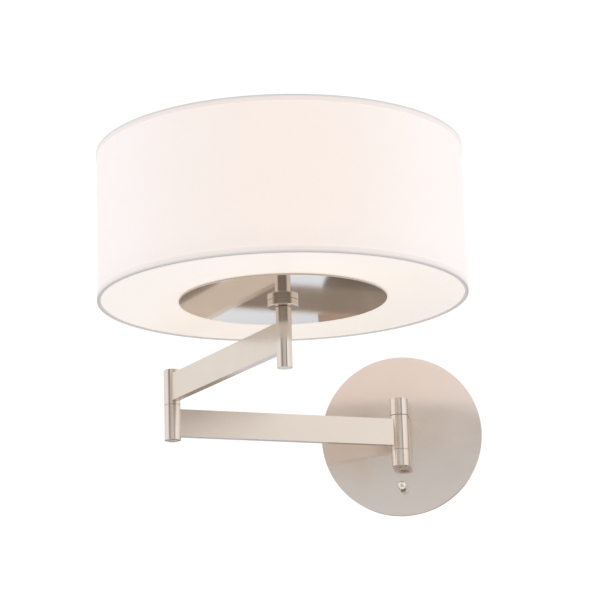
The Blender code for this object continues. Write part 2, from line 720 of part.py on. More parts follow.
def cluster():
    body = ring(
        "lampholder_bracket", TUBE_HOLE, CLUSTER_RADIUS, CLUSTER_LEVEL - CLUSTER_HEIGHT / 2,
        CLUSTER_LEVEL + CLUSTER_HEIGHT / 2, 32, STEM, ZINC, 1.0,
    )
    for i, turn in enumerate((0, 180)):
        degrees = UPPER_HEADING + turn
        flat = CLUSTER_RADIUS - 1.5
        seat = STEM + heading(degrees) * flat
        cut(body, window(f"cluster_flat_{i}", seat, degrees, CLUSTER_LEVEL, 40, 40, 8))
        lampholder("ab"[i], degrees, flat + GAP)


def lampholder(tag, degrees, start):
    place = at(STEM + Vector((0, 0, CLUSTER_LEVEL)), along(degrees))
    end = start + HOLDER_LENGTH
    inner = HOLDER_RADIUS - HOLDER_WALL
    lathe(
        "lampholder_" + tag,
        [(0, start), (HOLDER_RADIUS - 1, start), (HOLDER_RADIUS, start + 1), (HOLDER_RADIUS, end),
         (inner, end), (inner, start + 8), (0, start + 8)],
        PIN_SIDES, place, PHENOLIC,
    )
    foot = start + 8 + GAP
    top = foot + BASE_LENGTH
    lathe(
        "bulb_base_" + tag,
        [(0, foot), (2.5, foot), (3.0, foot + 1.5), (BASE_RADIUS, foot + 4), (BASE_RADIUS, top), (0, top)],
        16, place, BRASS,
    )
    neck = BASE_RADIUS - 0.6
    low = top + GAP
    centre = low + 6 + BULB_RADIUS
    outer = bulb_arc(BULB_RADIUS, neck, centre)
    inner = bulb_arc(BULB_RADIUS - BULB_GLASS, neck - BULB_GLASS, centre)
    loop = [(neck, low), *outer, *reversed(inner), (neck - BULB_GLASS, low)]
    lathe("bulb_glass_" + tag, loop, PIN_SIDES, place, FROSTED)


def bulb_arc(radius, neck, centre, steps=8):
    start = math.asin(neck / radius)
    found = [
        (radius * math.sin(a), centre - radius * math.cos(a))
        for a in (start + (math.pi - start) * i / steps for i in range(steps + 1))
    ]
    found[-1] = (0.0, centre + radius)
    return found


def hem(name, edge, inward):
    """Trim folded over one edge of the drum; inward is +1 for the bottom edge and -1 for the top."""
    outside = SHADE_RADIUS
    skin = outside - HEM_SKIN
    inner = HEM_INSIDE + HEM_SKIN
    fold = edge + inward * HEM_SKIN
    end = edge + inward * HEM_HEIGHT
    lathe(
        name,
        [(HEM_INSIDE, edge), (outside, edge), (outside, end), (skin, end), (skin, fold), (inner, fold),
         (inner, end), (HEM_INSIDE, end)],
        WIDE_SIDES, at(STEM), TRIM,
    )


def shade():
    outer = SHADE_RADIUS - HEM_SKIN - GAP
    low = SHADE_BOTTOM + HEM_SKIN + GAP
    high = SHADE_TOP - HEM_SKIN - GAP
    ring("shade_drum", outer - SHADE_WALL, outer, low, high, WIDE_SIDES, STEM, FABRIC)
    hem("hem_bottom", SHADE_BOTTOM, 1)
    hem("hem_top", SHADE_TOP, -1)
    circle = HEM_INSIDE - GAP - WIRE_RADIUS
    above = DIFFUSER_BOTTOM + DIFFUSER_THICK + GAP + WIRE_RADIUS
    torus("shade_bottom_ring", circle, WIRE_RADIUS, 48, 6, STEM + Vector((0, 0, above)), ZINC)
    ring_level = SHADE_TOP - HEM_SKIN - WIRE_RADIUS - 1
    spider = torus("shade_spider", circle, WIRE_RADIUS, 48, 6, STEM + Vector((0, 0, ring_level)), ZINC)
    hub = ring("spider_hub", TUBE_HOLE, 13.0, SPIDER_LEVEL - 1, SPIDER_LEVEL + 1, 24, STEM, None)
    drop = ring_level - SPIDER_LEVEL
    slope = math.atan2(drop, circle - 10)
    length = math.hypot(drop, circle - 10) + 0.6
    for i in range(SPIDER_ARMS):
        degrees = UPPER_HEADING + 90 + 360 / SPIDER_ARMS * i
        place = at(STEM + heading(degrees) * 10 + Vector((0, 0, SPIDER_LEVEL)), yaw(degrees))
        tilt = Matrix.Rotation(-slope, 4, "Y") @ Matrix.Translation((length / 2, 0, 0))
        join(spider, block(f"spider_arm_{i}", (length, 4.0, 1.6), place @ tilt))
    join(spider, hub)


def supply_lead():
    lead(
        "supply_lead",
        [(0, 26, LEAD_LEVEL), (0, -HINGE_OUT, LEAD_LEVEL), (0, -HINGE_OUT, -6.5)],
        WHITE_WIRE,
    )


clear_scene()
wall_side = pivot("wall_side", Vector((0, 0, 0)))
wall_hinge = pivot("wall_hinge", KNUCKLE)
elbow_hinge = pivot("elbow_hinge", ELBOW)
lever_hinge = pivot("lever_hinge", LEVER_PIVOT)
hang(wall_side, wall_hinge)
hang(wall_hinge, elbow_hinge)
hang(wall_side, lever_hinge)
build_on(wall_side, wall_plate, mounting_strap, wall_fixings, wall_bracket, wall_pins, switch, supply_lead)
build_on(wall_hinge, lower_arm, elbow_pin)
build_on(elbow_hinge, upper_arm, head_stack, cluster, shade)
build_on(lever_hinge, switch_lever)
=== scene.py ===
"""Looks of the swing-arm wall lamp: nickel arms and plate, cloth shade, lit bulbs and studio."""

import math

import bmesh
import bpy
from mathutils import Matrix, Vector


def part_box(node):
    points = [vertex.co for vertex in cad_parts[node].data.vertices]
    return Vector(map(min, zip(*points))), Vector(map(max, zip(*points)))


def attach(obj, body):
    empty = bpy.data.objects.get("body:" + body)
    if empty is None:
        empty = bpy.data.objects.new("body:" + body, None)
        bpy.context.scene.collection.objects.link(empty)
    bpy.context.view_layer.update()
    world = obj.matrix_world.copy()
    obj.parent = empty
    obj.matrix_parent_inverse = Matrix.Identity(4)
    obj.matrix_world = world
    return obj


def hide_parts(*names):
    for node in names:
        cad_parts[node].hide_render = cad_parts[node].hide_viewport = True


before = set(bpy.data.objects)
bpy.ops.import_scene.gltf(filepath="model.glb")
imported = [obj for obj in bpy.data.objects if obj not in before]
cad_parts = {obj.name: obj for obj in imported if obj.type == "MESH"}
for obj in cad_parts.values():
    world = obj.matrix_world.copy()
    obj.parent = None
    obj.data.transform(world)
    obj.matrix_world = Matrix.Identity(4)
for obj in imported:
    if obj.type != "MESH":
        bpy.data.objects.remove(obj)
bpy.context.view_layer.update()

MM = 0.001
TAU = math.tau


# --- Places taken from the frame, in millimetres -----------------------------------------------
def low(node):
    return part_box(node)[0] / MM


def high(node):
    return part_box(node)[1] / MM


def levels(node):
    """Foot and top of a node."""
    return low(node).z, high(node).z


def plan_centre(node):
    """Middle of a node in plan, at height 0."""
    return Vector(((low(node).x + high(node).x) / 2, (low(node).y + high(node).y) / 2, 0.0))


KNUCKLE = plan_centre("lower_wall_barrel")
ELBOW = plan_centre("lower_elbow_barrel")
STEM = plan_centre("stem_barrel")
LOWER_HEADING = math.atan2(ELBOW.y - KNUCKLE.y, ELBOW.x - KNUCKLE.x)
UPPER_HEADING = math.atan2(STEM.y - ELBOW.y, STEM.x - ELBOW.x)
PLATE_FRONT = -low("wall_plate").y
PLATE_RADIUS = high("wall_plate").x
SWITCH_LEVEL = sum(levels("switch_nut")) / 2
LEAD_LEVEL = sum(levels("supply_lead")) / 2
SHADE_RADIUS = high("hem_top").x - STEM.x
SHADE_LOW = low("hem_bottom").z
SHADE_HIGH = high("hem_top").z
BULB_LEVEL = sum(levels("bulb_glass_a")) / 2

BULB_REACH = 75.2                        # from the stem to the middle of a bulb
GLOBE_RADIUS = 25.0

CLOTH_THICK = 0.5
CLOTH_OVERLAP = 14.0
CLOTH_RADIUS = SHADE_RADIUS - 0.05 - CLOTH_THICK / 2
CLOTH_FLAT = (TAU * CLOTH_RADIUS + CLOTH_OVERLAP, high("shade_drum").z - low("shade_drum").z)
TAPE_THICK = 0.45
TAPE_DEPTH = 5.2
WIRE_RADIUS = 1.25                       # of the two rings in the shade

WALL_ROUND, ELBOW_ROUND, STEM_ROUND = 8.5, 7.5, 6.5      # radii of the barrels
LIP, LIP_RISE = 0.6, 0.85                # rim at a barrel's end, round the flange of its bush
STEM_BORE = 5.1                          # in the pieces that sit on the stem
JAW_GAP = 1.1                            # between the bracket's jaws and the barrel in them
BOX_SCREW_ASIDE, EARTH_SCREW_ASIDE = 44.45, 22.0         # from the middle of the strap
BRACKET_SCREW_LEVELS = (20.0, -13.5)
TOGGLE_PIVOT_OUT = 6.9                   # in front of the wall
TOGGLE_TILT = math.radians(77.5)         # from straight up towards straight out of the wall

FLOOR_LEVEL = -640.0
CAMERA_PLACE = (0.17129, -2.05282, -0.36918)             # in metres
CAMERA_TURNS = (7.36, 13.82, -1.71)                      # yaw, pitch and roll in degrees
CAMERA_LENS = 131.4                                      # for a sensor 36 wide


# --- Colours and levels of light ---------------------------------------------------------------
NICKEL_DEEP = (0.66, 0.575, 0.50)
NICKEL_LIGHT = (0.83, 0.74, 0.66)
# Emission colours of the shade cloth: the first, whiter, is painted studio light and sheen where the cloth is
# viewed edge-on; the second is the warm light of the bulbs through it.
SHADE_PAINTED_SHEEN = (0.73, 0.63, 0.625)
SHADE_WARM = (0.735, 0.54, 0.425)
GLOW_REACH = 75.0                        # from a bulb, where its light counts as 1
PAINTED_REFLECTION_BEHIND = (0.92, 1.0, 1.12)         # painted reflection: three parts of the floor, as polished metal shows them
PAINTED_REFLECTION_ASIDE = (0.93, 0.90, 0.86)
PAINTED_REFLECTION_BEFORE = (0.22, 0.20, 0.185)
SURROUND = (                             # (degrees round from behind the camera, level of light)
    (-179, 1.0), (-110, 1.0), (-75, 1.08), (-60, 1.08), (-50, 0.95), (-40, 0.5), (-33, 0.3), (-24, 0.3),
    (-14, 0.58), (0, 0.57), (12, 0.74), (24, 0.62), (34, 0.48), (38, 0.2), (43, 0.2), (48, 1.15), (58, 1.2),
    (78, 1.1), (110, 1.0), (179, 1.0),
)
BACKDROP_LEVEL = 1.05                    # white that only the camera sees


# --- Places and turns --------------------------------------------------------------------------
def heading(angle):
    return Vector((math.cos(angle), math.sin(angle), 0.0))


def moved(place):
    return Matrix.Translation(place)


def raised(point, level):
    return point + Vector((0, 0, level))


def turned(angle):
    return Matrix.Rotation(angle, 4, "Z")


OUT_OF_WALL = Matrix.Rotation(math.pi / 2, 4, "X")       # local +Z comes out of the wall


def laid_along(angle):
    """Turn that lays local +Z along a heading, with local +X up."""
    d = heading(angle)
    side = d.cross(Vector((0, 0, 1)))
    return Matrix(((0, side.x, d.x, 0), (0, side.y, d.y, 0), (1, side.z, d.z, 0), (0, 0, 0, 1)))


# --- Shared shader groups ----------------------------------------------------------------------
class Graph:
    """Small helper that adds nodes to a tree and joins them."""

    def __init__(self, tree):
        self.tree = tree

    def add(self, kind, **settings):
        node = self.tree.nodes.new(kind)
        for name, value in settings.items():
            setattr(node, name, value)
        return node

    def join(self, output, socket):
        self.tree.links.new(output, socket)

    def feed(self, socket, value):
        if hasattr(value, "is_linked"):
            self.join(value, socket)
        else:
            socket.default_value = value

    def worked(self, kind, operation, values):
        node = self.add(kind, operation=operation)
        for socket, value in zip(node.inputs, values):
            self.feed(socket, value)
        return node.outputs

    def maths(self, operation, *values):
        return self.worked("ShaderNodeMath", operation, values)[0]

    def vector(self, operation, *values):
        """A vector, or a number where the operation gives one."""
        return self.worked("ShaderNodeVectorMath", operation, values)[
            "Value" if operation in ("DISTANCE", "LENGTH") else "Vector"
        ]

    def split(self, vector):
        node = self.add("ShaderNodeSeparateXYZ")
        self.feed(node.inputs[0], vector)
        return node.outputs

    def joined(self, *values):
        node = self.add("ShaderNodeCombineXYZ")
        for socket, value in zip(node.inputs, values):
            self.feed(socket, value)
        return node.outputs[0]

    def noise(self, place, scale, detail=2.0, roughness=0.5):
        node = self.add("ShaderNodeTexNoise")
        self.feed(node.inputs["Vector"], place)
        node.inputs["Scale"].default_value = scale
        node.inputs["Detail"].default_value = detail
        node.inputs["Roughness"].default_value = roughness
        return node.outputs["Fac"]

    def spread(self, value, from_low, from_high, to_low, to_high):
        node = self.add("ShaderNodeMapRange")
        self.feed(node.inputs[0], value)
        for socket, number in zip(node.inputs[1:5], (from_low, from_high, to_low, to_high)):
            self.feed(socket, number)
        return node.outputs[0]

    def mix(self, factor, first, second):
        node = self.add("ShaderNodeMix", data_type="RGBA")
        self.feed(node.inputs["Factor"], factor)
        self.feed(node.inputs[6], first)
        self.feed(node.inputs[7], second)
        return node.outputs[2]

    def choose(self, kind_of_ray, others, these):
        """One shader for a kind of ray and another for the others."""
        node = self.add("ShaderNodeMixShader")
        self.join(self.add("ShaderNodeLightPath").outputs[kind_of_ray], node.inputs[0])
        self.join(others.outputs[0], node.inputs[1])
        self.join(these.outputs[0], node.inputs[2])
        return node.outputs[0]


def shader_group(name, inputs, outputs):
    """Empty group with named sockets; an input takes a vector if its default is one."""
    tree = bpy.data.node_groups.new(name, "ShaderNodeTree")
    for label, default in inputs.items():
        kind = "NodeSocketVector" if isinstance(default, tuple) else "NodeSocketFloat"
        tree.interface.new_socket(label, in_out="INPUT", socket_type=kind).default_value = default
    for label in outputs:
        tree.interface.new_socket(label, in_out="OUTPUT", socket_type="NodeSocketFloat")
    g = Graph(tree)
    return tree, g, g.add("NodeGroupInput").outputs, g.add("NodeGroupOutput").inputs


def make_grain_group():
    """Fine straight brush lines along local X, with broad hazy patches from handling."""
    tree, g, given, made = shader_group(
        "brushed_grain", {"Vector": (0, 0, 0), "Line Width": 0.1, "Roughness": 0.25, "Spread": 0.06},
        ("Roughness", "Height", "Tone"),
    )
    across = g.maths("DIVIDE", 1.0, given["Line Width"])
    along = g.maths("MULTIPLY", across, 0.012)
    stretched = g.vector("MULTIPLY", given["Vector"], g.joined(along, across, across))
    lines = g.noise(stretched, 1.0, 3.0, 0.6)
    patches = g.noise(given["Vector"], 0.03)
    shift = g.maths("MULTIPLY", g.maths("SUBTRACT", lines, 0.5), given["Spread"])
    haze = g.maths("MULTIPLY", g.maths("SUBTRACT", patches, 0.5), given["Spread"])
    g.join(g.maths("ADD", given["Roughness"], g.maths("ADD", shift, haze)), made["Roughness"])
    g.join(lines, made["Height"])
    g.join(g.maths("ADD", g.maths("MULTIPLY", lines, 0.6), g.maths("MULTIPLY", patches, 0.4)), made["Tone"])
    return tree


def make_glow_group():
    """Light that reaches a point from the two bulbs, falling with the square of the distance."""
    tree, g, given, made = shader_group(
        "bulb_light", {"Vector": (0, 0, 0), "Bulb A": (0, 0, 0), "Bulb B": (0, 0, 0)}, ("Light",),
    )
    parts = []
    for bulb in ("Bulb A", "Bulb B"):
        away = g.vector("DISTANCE", given["Vector"], given[bulb])
        ratio = g.maths("DIVIDE", GLOW_REACH, g.maths("MAXIMUM", away, 20.0))
        parts.append(g.maths("MULTIPLY", ratio, ratio))
    g.join(g.maths("ADD", *parts), made["Light"])
    return tree


def make_weave_group():
    """Plain weave read from a flat map in millimetres, with thick and thin threads."""
    tree, g, given, made = shader_group(
        "plain_weave", {"Vector": (0, 0, 0), "Thread": 0.5}, ("Height", "Slub"),
    )
    turns = g.maths("DIVIDE", math.pi, given["Thread"])
    x, y, _ = g.split(given["Vector"])
    crossing = g.maths("MULTIPLY", *[g.maths("SINE", g.maths("MULTIPLY", axis, turns)) for axis in (x, y)])
    weft, warp = [
        g.noise(g.vector("MULTIPLY", given["Vector"], stretch), 1.0, 2.0, 0.6)
        for stretch in ((0.03, 1.2, 1.0), (1.1, 0.025, 1.0))
    ]
    slub = g.maths("ADD", g.maths("MULTIPLY", weft, 0.55), g.maths("MULTIPLY", warp, 0.45))
    g.join(g.maths("ADD", g.maths("MULTIPLY", crossing, 0.35), slub), made["Height"])
    g.join(slub, made["Slub"])
    return tree


def make_speckle_group():
    """Cast, moulded or plated surface: fine pits over slow patches."""
    tree, g, given, made = shader_group(
        "fine_speckle", {"Vector": (0, 0, 0), "Grain": 0.5, "Roughness": 0.4, "Spread": 0.1},
        ("Roughness", "Height", "Tone"),
    )
    per_grain = g.maths("DIVIDE", 1.0, given["Grain"])
    sized = g.vector("MULTIPLY", given["Vector"], g.joined(per_grain, per_grain, per_grain))
    fine = g.noise(sized, 1.0, 3.0, 0.6)
    slow = g.noise(given["Vector"], 0.12)
    blend = g.maths("ADD", g.maths("MULTIPLY", fine, 0.5), g.maths("MULTIPLY", slow, 0.5))
    shift = g.maths("MULTIPLY", g.maths("SUBTRACT", blend, 0.5), given["Spread"])
    g.join(g.maths("ADD", given["Roughness"], shift), made["Roughness"])
    g.join(fine, made["Height"])
    g.join(blend, made["Tone"])
    return tree


GRAIN = make_grain_group()
GLOW = make_glow_group()
WEAVE = make_weave_group()
SPECKLE = make_speckle_group()


# --- Materials ---------------------------------------------------------------------------------
def new_material(name):
    made = bpy.data.materials.new(name)
    made.use_nodes = True
    return made, Graph(made.node_tree), made.node_tree.nodes["Principled BSDF"].inputs


def in_millimetres(g, turn=0.0):
    """Object coordinates in millimetres, turned about Z so that a pattern lies along a piece."""
    place = g.add("ShaderNodeTexCoord").outputs["Object"]
    mapping = g.add("ShaderNodeMapping", vector_type="POINT")
    mapping.inputs["Rotation"].default_value = (0, 0, -turn)
    mapping.inputs["Scale"].default_value = (1 / MM, 1 / MM, 1 / MM)
    g.join(place, mapping.inputs["Vector"])
    return mapping.outputs[0]


def use_group(g, tree, **values):
    node = g.add("ShaderNodeGroup", node_tree=tree)
    for name, value in values.items():
        g.feed(node.inputs[name.replace("_", " ")], value)
    return node.outputs


def bump(g, shader, height, distance, strength=1.0):
    node = g.add("ShaderNodeBump")
    node.inputs["Distance"].default_value = distance * MM
    node.inputs["Strength"].default_value = strength
    g.join(height, node.inputs["Height"])
    g.join(node.outputs[0], shader["Normal"])


def rgb(colour):
    return (*colour, 1.0)


def satin_nickel(
    name, turn, roughness=0.2, line=0.12, relief=0.004, deep=NICKEL_DEEP, light=NICKEL_LIGHT,
    slot="polished_nickel",
):
    """Warm nickel with straight brush lines along a heading."""
    made, g, shader = new_material(name)
    grain = use_group(
        g, GRAIN, Vector=in_millimetres(g, turn), Line_Width=line, Roughness=roughness,
        Spread=roughness * 0.5,
    )
    g.join(g.mix(grain["Tone"], rgb(deep), rgb(light)), shader["Base Color"])
    g.join(grain["Roughness"], shader["Roughness"])
    shader["Metallic"].default_value = 1.0
    bump(g, shader, grain["Height"], relief)
    return made, slot


def fine_surface(g, shader, deep, light, roughness, grain, spread=0.1, relief=0.01):
    """Colour, roughness and relief of a fine even surface."""
    found = use_group(g, SPECKLE, Vector=in_millimetres(g), Grain=grain, Roughness=roughness, Spread=spread)
    g.join(g.mix(found["Tone"], rgb(deep), rgb(light)), shader["Base Color"])
    g.join(found["Roughness"], shader["Roughness"])
    if relief:
        bump(g, shader, found["Height"], relief)


def speckled(name, slot, deep, light, roughness, metallic, grain, relief):
    """Plated, cast or moulded piece."""
    made, g, shader = new_material(name)
    fine_surface(g, shader, deep, light, roughness, grain, 0.15, relief)
    shader["Metallic"].default_value = metallic
    return made, slot


def bulb_point(side):
    place = STEM + heading(UPPER_HEADING) * side * BULB_REACH
    return (place.x, place.y, BULB_LEVEL)


def bulb_light(g):
    """Light of the two bulbs at the point that is shaded."""
    found = use_group(g, GLOW, Vector=in_millimetres(g), Bulb_A=bulb_point(1), Bulb_B=bulb_point(-1))
    return found["Light"]


def lit_cloth(name, slot, flat, thread, face, strength, fold=None):
    """Cloth of the shade, lit from inside by the bulbs. At a fold little light comes through."""
    made, g, shader = new_material(name)
    mapping = g.add("ShaderNodeMapping", vector_type="POINT")
    mapping.inputs["Scale"].default_value = (flat[0], flat[1], 1.0)
    g.join(g.add("ShaderNodeTexCoord").outputs["UV"], mapping.inputs["Vector"])
    weave = use_group(g, WEAVE, Vector=mapping.outputs[0], Thread=thread)
    slub = g.spread(weave["Slub"], 0.3, 0.7, 0.0, 1.0)
    g.join(g.mix(slub, rgb([c * 0.93 for c in face]), rgb(face)), shader["Base Color"])
    shader["Roughness"].default_value = 0.9
    shader["Sheen Weight"].default_value = 0.15
    shader["Sheen Roughness"].default_value = 0.5
    bump(g, shader, weave["Height"], 0.12, 0.6)
    square = g.add("ShaderNodeLayerWeight")
    square.inputs["Blend"].default_value = 0.5
    # Painted light: the glow is warmer where the cloth faces the camera and whiter, a painted sheen, where it
    # is viewed edge-on.
    painted_facing_warmth = g.spread(square.outputs["Facing"], 0.0, 0.4, 0.75, 0.0)
    light = g.spread(bulb_light(g), 0.2, 1.15, 0.0, 0.25)
    g.join(g.mix(g.maths("ADD", light, painted_facing_warmth), rgb(SHADE_PAINTED_SHEEN), rgb(SHADE_WARM)), shader["Emission Color"])
    even = g.spread(slub, 0.0, 1.0, strength * 1.03, strength * 0.97)
    level = g.split(mapping.outputs[0])[1]
    if fold is None:
        # Painted shade: without a fold the glow is darker towards the bottom edge of the drum, over its
        # lowest 22 mm.
        shaded = g.spread(level, 2.0, 22.0, 0.9, 1.0)
    else:
        away = g.maths("ABSOLUTE", g.maths("SUBTRACT", level, fold))
        shaded = g.spread(away, 0.2, 2.6, 0.1, 0.88)
    g.join(g.maths("MULTIPLY", even, shaded), shader["Emission Strength"])
    return made, slot


def lit_plastic(name, slot, face, dim, warm, strength):
    """Opal sheet, lit from behind by the bulbs; less bright in the metal that mirrors it."""
    made, g, shader = new_material(name)
    fine_surface(g, shader, [c * 0.97 for c in face], face, 0.42, 0.35)
    light = g.spread(bulb_light(g), 0.3, 2.2, 0.0, 1.0)
    g.join(g.mix(light, rgb(dim), rgb(warm)), shader["Emission Color"])
    mirrored = g.add("ShaderNodeLightPath").outputs["Is Glossy Ray"]
    share = g.spread(mirrored, 0.0, 1.0, 1.0, 0.4)
    g.join(g.maths("MULTIPLY", share, strength), shader["Emission Strength"])
    return made, slot


def lit_glass(name, slot):
    """Frosted globe of a bulb that is on: brightest at its middle."""
    made, g, shader = new_material(name)
    fine_surface(g, shader, (0.88, 0.85, 0.8), (0.95, 0.93, 0.9), 0.5, 0.3)
    near = g.spread(bulb_light(g), 8.0, 9.6, 0.0, 1.0)
    g.join(g.mix(near, rgb((1.0, 0.72, 0.45)), rgb((1.0, 0.86, 0.68))), shader["Emission Color"])
    shader["Emission Strength"].default_value = 3.0
    return made, slot


# Each look is a material with its slot.
lower_grain = satin_nickel("satin_nickel_lower_arm", LOWER_HEADING)
upper_grain = satin_nickel("satin_nickel_upper_arm", UPPER_HEADING)
upright_grain = satin_nickel("polished_nickel_rounds", 0.0, 0.12, 0.08, 0.002)
plate_grain = satin_nickel(
    "satin_nickel_plate", 0.0, 0.15, 0.12, 0.003, (0.675, 0.605, 0.55), (0.84, 0.765, 0.71),
)
# The toggle's nickel is lighter than the rest: a painted highlight on the ball.
toggle_nickel_painted_highlight = satin_nickel(
    "satin_nickel_toggle_painted_highlight", 0.0, 0.3, 0.1, 0.001, (0.88, 0.82, 0.76), (0.97, 0.92, 0.87),
)
disc_grain = satin_nickel("mirror_nickel_disc", 0.6, 0.07, 0.1, 0.001, slot="mirror_nickel")
plated, steel, brass, bronze, green, black, phenolic, white_pvc, white_wire = [speckled(*kind) for kind in (
    ("zinc_plate", "zinc_steel", (0.50, 0.50, 0.49), (0.72, 0.72, 0.71), 0.36, 1.0, 0.4, 0.01),
    ("plain_steel", "steel", (0.38, 0.38, 0.39), (0.56, 0.56, 0.57), 0.4, 1.0, 0.3, 0.01),
    ("lamp_brass", "brass", (0.60, 0.42, 0.18), (0.80, 0.60, 0.30), 0.28, 1.0, 0.4, 0.005),
    ("oiled_bronze", "bronze", (0.32, 0.21, 0.11), (0.50, 0.35, 0.20), 0.45, 1.0, 0.25, 0.02),
    ("earth_green", "earth_green", (0.03, 0.20, 0.06), (0.07, 0.34, 0.12), 0.4, 0.0, 0.6, 0.01),
    ("switch_black", "black_plastic", (0.02, 0.02, 0.022), (0.05, 0.05, 0.055), 0.5, 0.0, 0.3, 0.02),
    ("holder_cream", "phenolic", (0.70, 0.66, 0.58), (0.84, 0.81, 0.74), 0.45, 0.0, 0.5, 0.02),
    ("lead_white", "white_insulation", (0.72, 0.72, 0.70), (0.84, 0.84, 0.82), 0.5, 0.0, 0.8, 0.01),
    ("wire_white_lacquer", "zinc_steel", (0.74, 0.73, 0.71), (0.82, 0.81, 0.79), 0.4, 0.0, 0.6, 0.01),
)]
shade_cloth = lit_cloth("shade_cloth", "linen", CLOTH_FLAT, 0.55, (0.86, 0.845, 0.83), 0.5)
hem_tape = lit_cloth(
    "hem_tape", "trim", (CLOTH_FLAT[0], 2 * TAPE_DEPTH), 0.4, (0.80, 0.79, 0.785), 0.5, TAPE_DEPTH,
)
opal = lit_plastic(
    "opal_diffuser", "opal_acrylic", (0.80, 0.79, 0.77), (0.62, 0.55, 0.50), (0.79, 0.63, 0.51), 0.68,
)
frosted = lit_glass("frosted_glass", "frosted_glass")


# --- Mesh tools --------------------------------------------------------------------------------
def spun(profile, steps=96):
    """Closed round form from a closed outline of (radius, height)."""
    form = bmesh.new()
    corners = [form.verts.new((r, 0.0, z)) for r, z in profile]
    sides = [
        form.edges.new((a, b)) for a, b in zip(corners, corners[1:] + corners[:1]) if a.co.x + b.co.x > 1e-6
    ]
    bmesh.ops.spin(
        form, geom=corners + sides, cent=(0, 0, 0), axis=(0, 0, 1), angle=TAU, steps=steps, use_merge=True,
    )
    bmesh.ops.remove_doubles(form, verts=form.verts, dist=1e-4)
    bmesh.ops.recalc_face_normals(form, faces=form.faces)
    return form


def ring_form(inner, outer, foot, top, steps=96):
    return spun([(inner, foot), (outer, foot), (outer, top), (inner, top)], steps)


def rod(radius, foot, top, steps=96):
    return ring_form(0, radius, foot, top, steps)


def box_form(size):
    form = bmesh.new()
    bmesh.ops.create_cube(form, size=1.0)
    bmesh.ops.scale(form, vec=size, verts=form.verts)
    return form


def prism_form(sides, radius, foot, top):
    form = bmesh.new()
    ring = bmesh.ops.create_circle(form, cap_ends=True, segments=sides, radius=radius)["verts"]
    bmesh.ops.translate(form, vec=(0, 0, foot), verts=ring)
    grown = bmesh.ops.extrude_face_region(form, geom=form.faces[:])["geom"]
    lifted = [v for v in grown if isinstance(v, bmesh.types.BMVert)]
    bmesh.ops.translate(form, vec=(0, 0, top - foot), verts=lifted)
    bmesh.ops.recalc_face_normals(form, faces=form.faces)
    return form


def ball_outline(radius, centre, mouth, steps):
    """Outline of a ball from the edge of its mouth to its far end."""
    first = math.asin(mouth / radius)
    angles = [first + (math.pi - first) * i / steps for i in range(steps)]
    return [(radius * math.sin(a), centre - radius * math.cos(a)) for a in angles] + [(0.0, centre + radius)]


def raw_object(name, form, place):
    """Object at the origin from a form in millimetres."""
    bmesh.ops.transform(form, matrix=place, verts=form.verts)
    bmesh.ops.scale(form, vec=(MM, MM, MM), verts=form.verts)
    mesh = bpy.data.meshes.new(name)
    form.to_mesh(mesh)
    form.free()
    obj = bpy.data.objects.new(name, mesh)
    bpy.context.scene.collection.objects.link(obj)
    return obj


def carve(obj, *cutters, operation="DIFFERENCE"):
    """Cuts forms in millimetres, each with its place, out of a piece for good, or joins them to it."""
    for form, place in cutters:
        tool = raw_object("cutter", form, place)
        made = obj.modifiers.new("carve", "BOOLEAN")
        made.operation = operation
        made.solver = "EXACT"
        made.object = tool
        bpy.context.view_layer.update()
        shown = obj.evaluated_get(bpy.context.evaluated_depsgraph_get())
        whole = bpy.data.meshes.new_from_object(shown)
        obj.modifiers.clear()
        old = obj.data
        obj.data = whole
        bpy.data.meshes.remove(old)
        shape = tool.data
        bpy.data.objects.remove(tool)
        bpy.data.meshes.remove(shape)


def settle(obj, body, nodes, look, edge=0.0):
    """Edges, shading, look, body and the CAD nodes that a piece stands for."""
    material, slot = look
    obj.data.shade_smooth()
    if edge:
        made = obj.modifiers.new("edges", "BEVEL")
        made.width = edge * MM
        made.segments = 2
        made.limit_method = "ANGLE"
        made.angle_limit = math.radians(35)
        made.harden_normals = True
    else:
        obj.data.set_sharp_from_angle(angle=math.radians(40))
    obj.data.materials.clear()
    obj.data.materials.append(material)
    if nodes:
        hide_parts(*nodes)
    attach(obj, body)
    return obj


def piece(name, form, place, body, nodes, look, edge=0.0, cutters=()):
    obj = raw_object(name, form, place)
    carve(obj, *cutters)
    return settle(obj, body, nodes, look, edge)


def on_stem(name, form, nodes, look, edge=0.0):
    return piece(name, form, moved(STEM), "upper_arm", nodes, look, edge)


def driver_slot(place, level, angle):
    """Slot for a flat driver across the end of a pin."""
    return box_form((12, 0.9, 1.0)), place @ moved((0, 0, level)) @ turned(angle)


# --- Wall side ---------------------------------------------------------------------------------
def on_plate(x, z, out=0.0):
    """Place on the wall plate: local +Z out of the wall, from a distance in front of the wall."""
    return moved((x, -out, z)) @ OUT_OF_WALL


def backplate():
    inside = PLATE_FRONT - 1.5
    rim = PLATE_RADIUS - 2.2
    form = spun([
        (0, inside), (rim, inside), (rim, 0), (PLATE_RADIUS - 0.3, 0), (PLATE_RADIUS, 0.3),
        (PLATE_RADIUS, PLATE_FRONT), (0, PLATE_FRONT),
    ], 192)
    upper, lower = BRACKET_SCREW_LEVELS
    holes = ((3.2, SWITCH_LEVEL), (2.8, LEAD_LEVEL), (2.2, upper), (2.2, lower))
    through = [(rod(radius, -9, 9, 48), on_plate(0, level)) for radius, level in holes]
    sides = [
        (rod(1.4, 60, 90, 24), moved((0, -inside / 2, 0)) @ laid_along(turn)) for turn in (0, math.pi)
    ]
    piece("backplate", form, OUT_OF_WALL, "wall_side", ["wall_plate"], plate_grain, 0.35, through + sides)


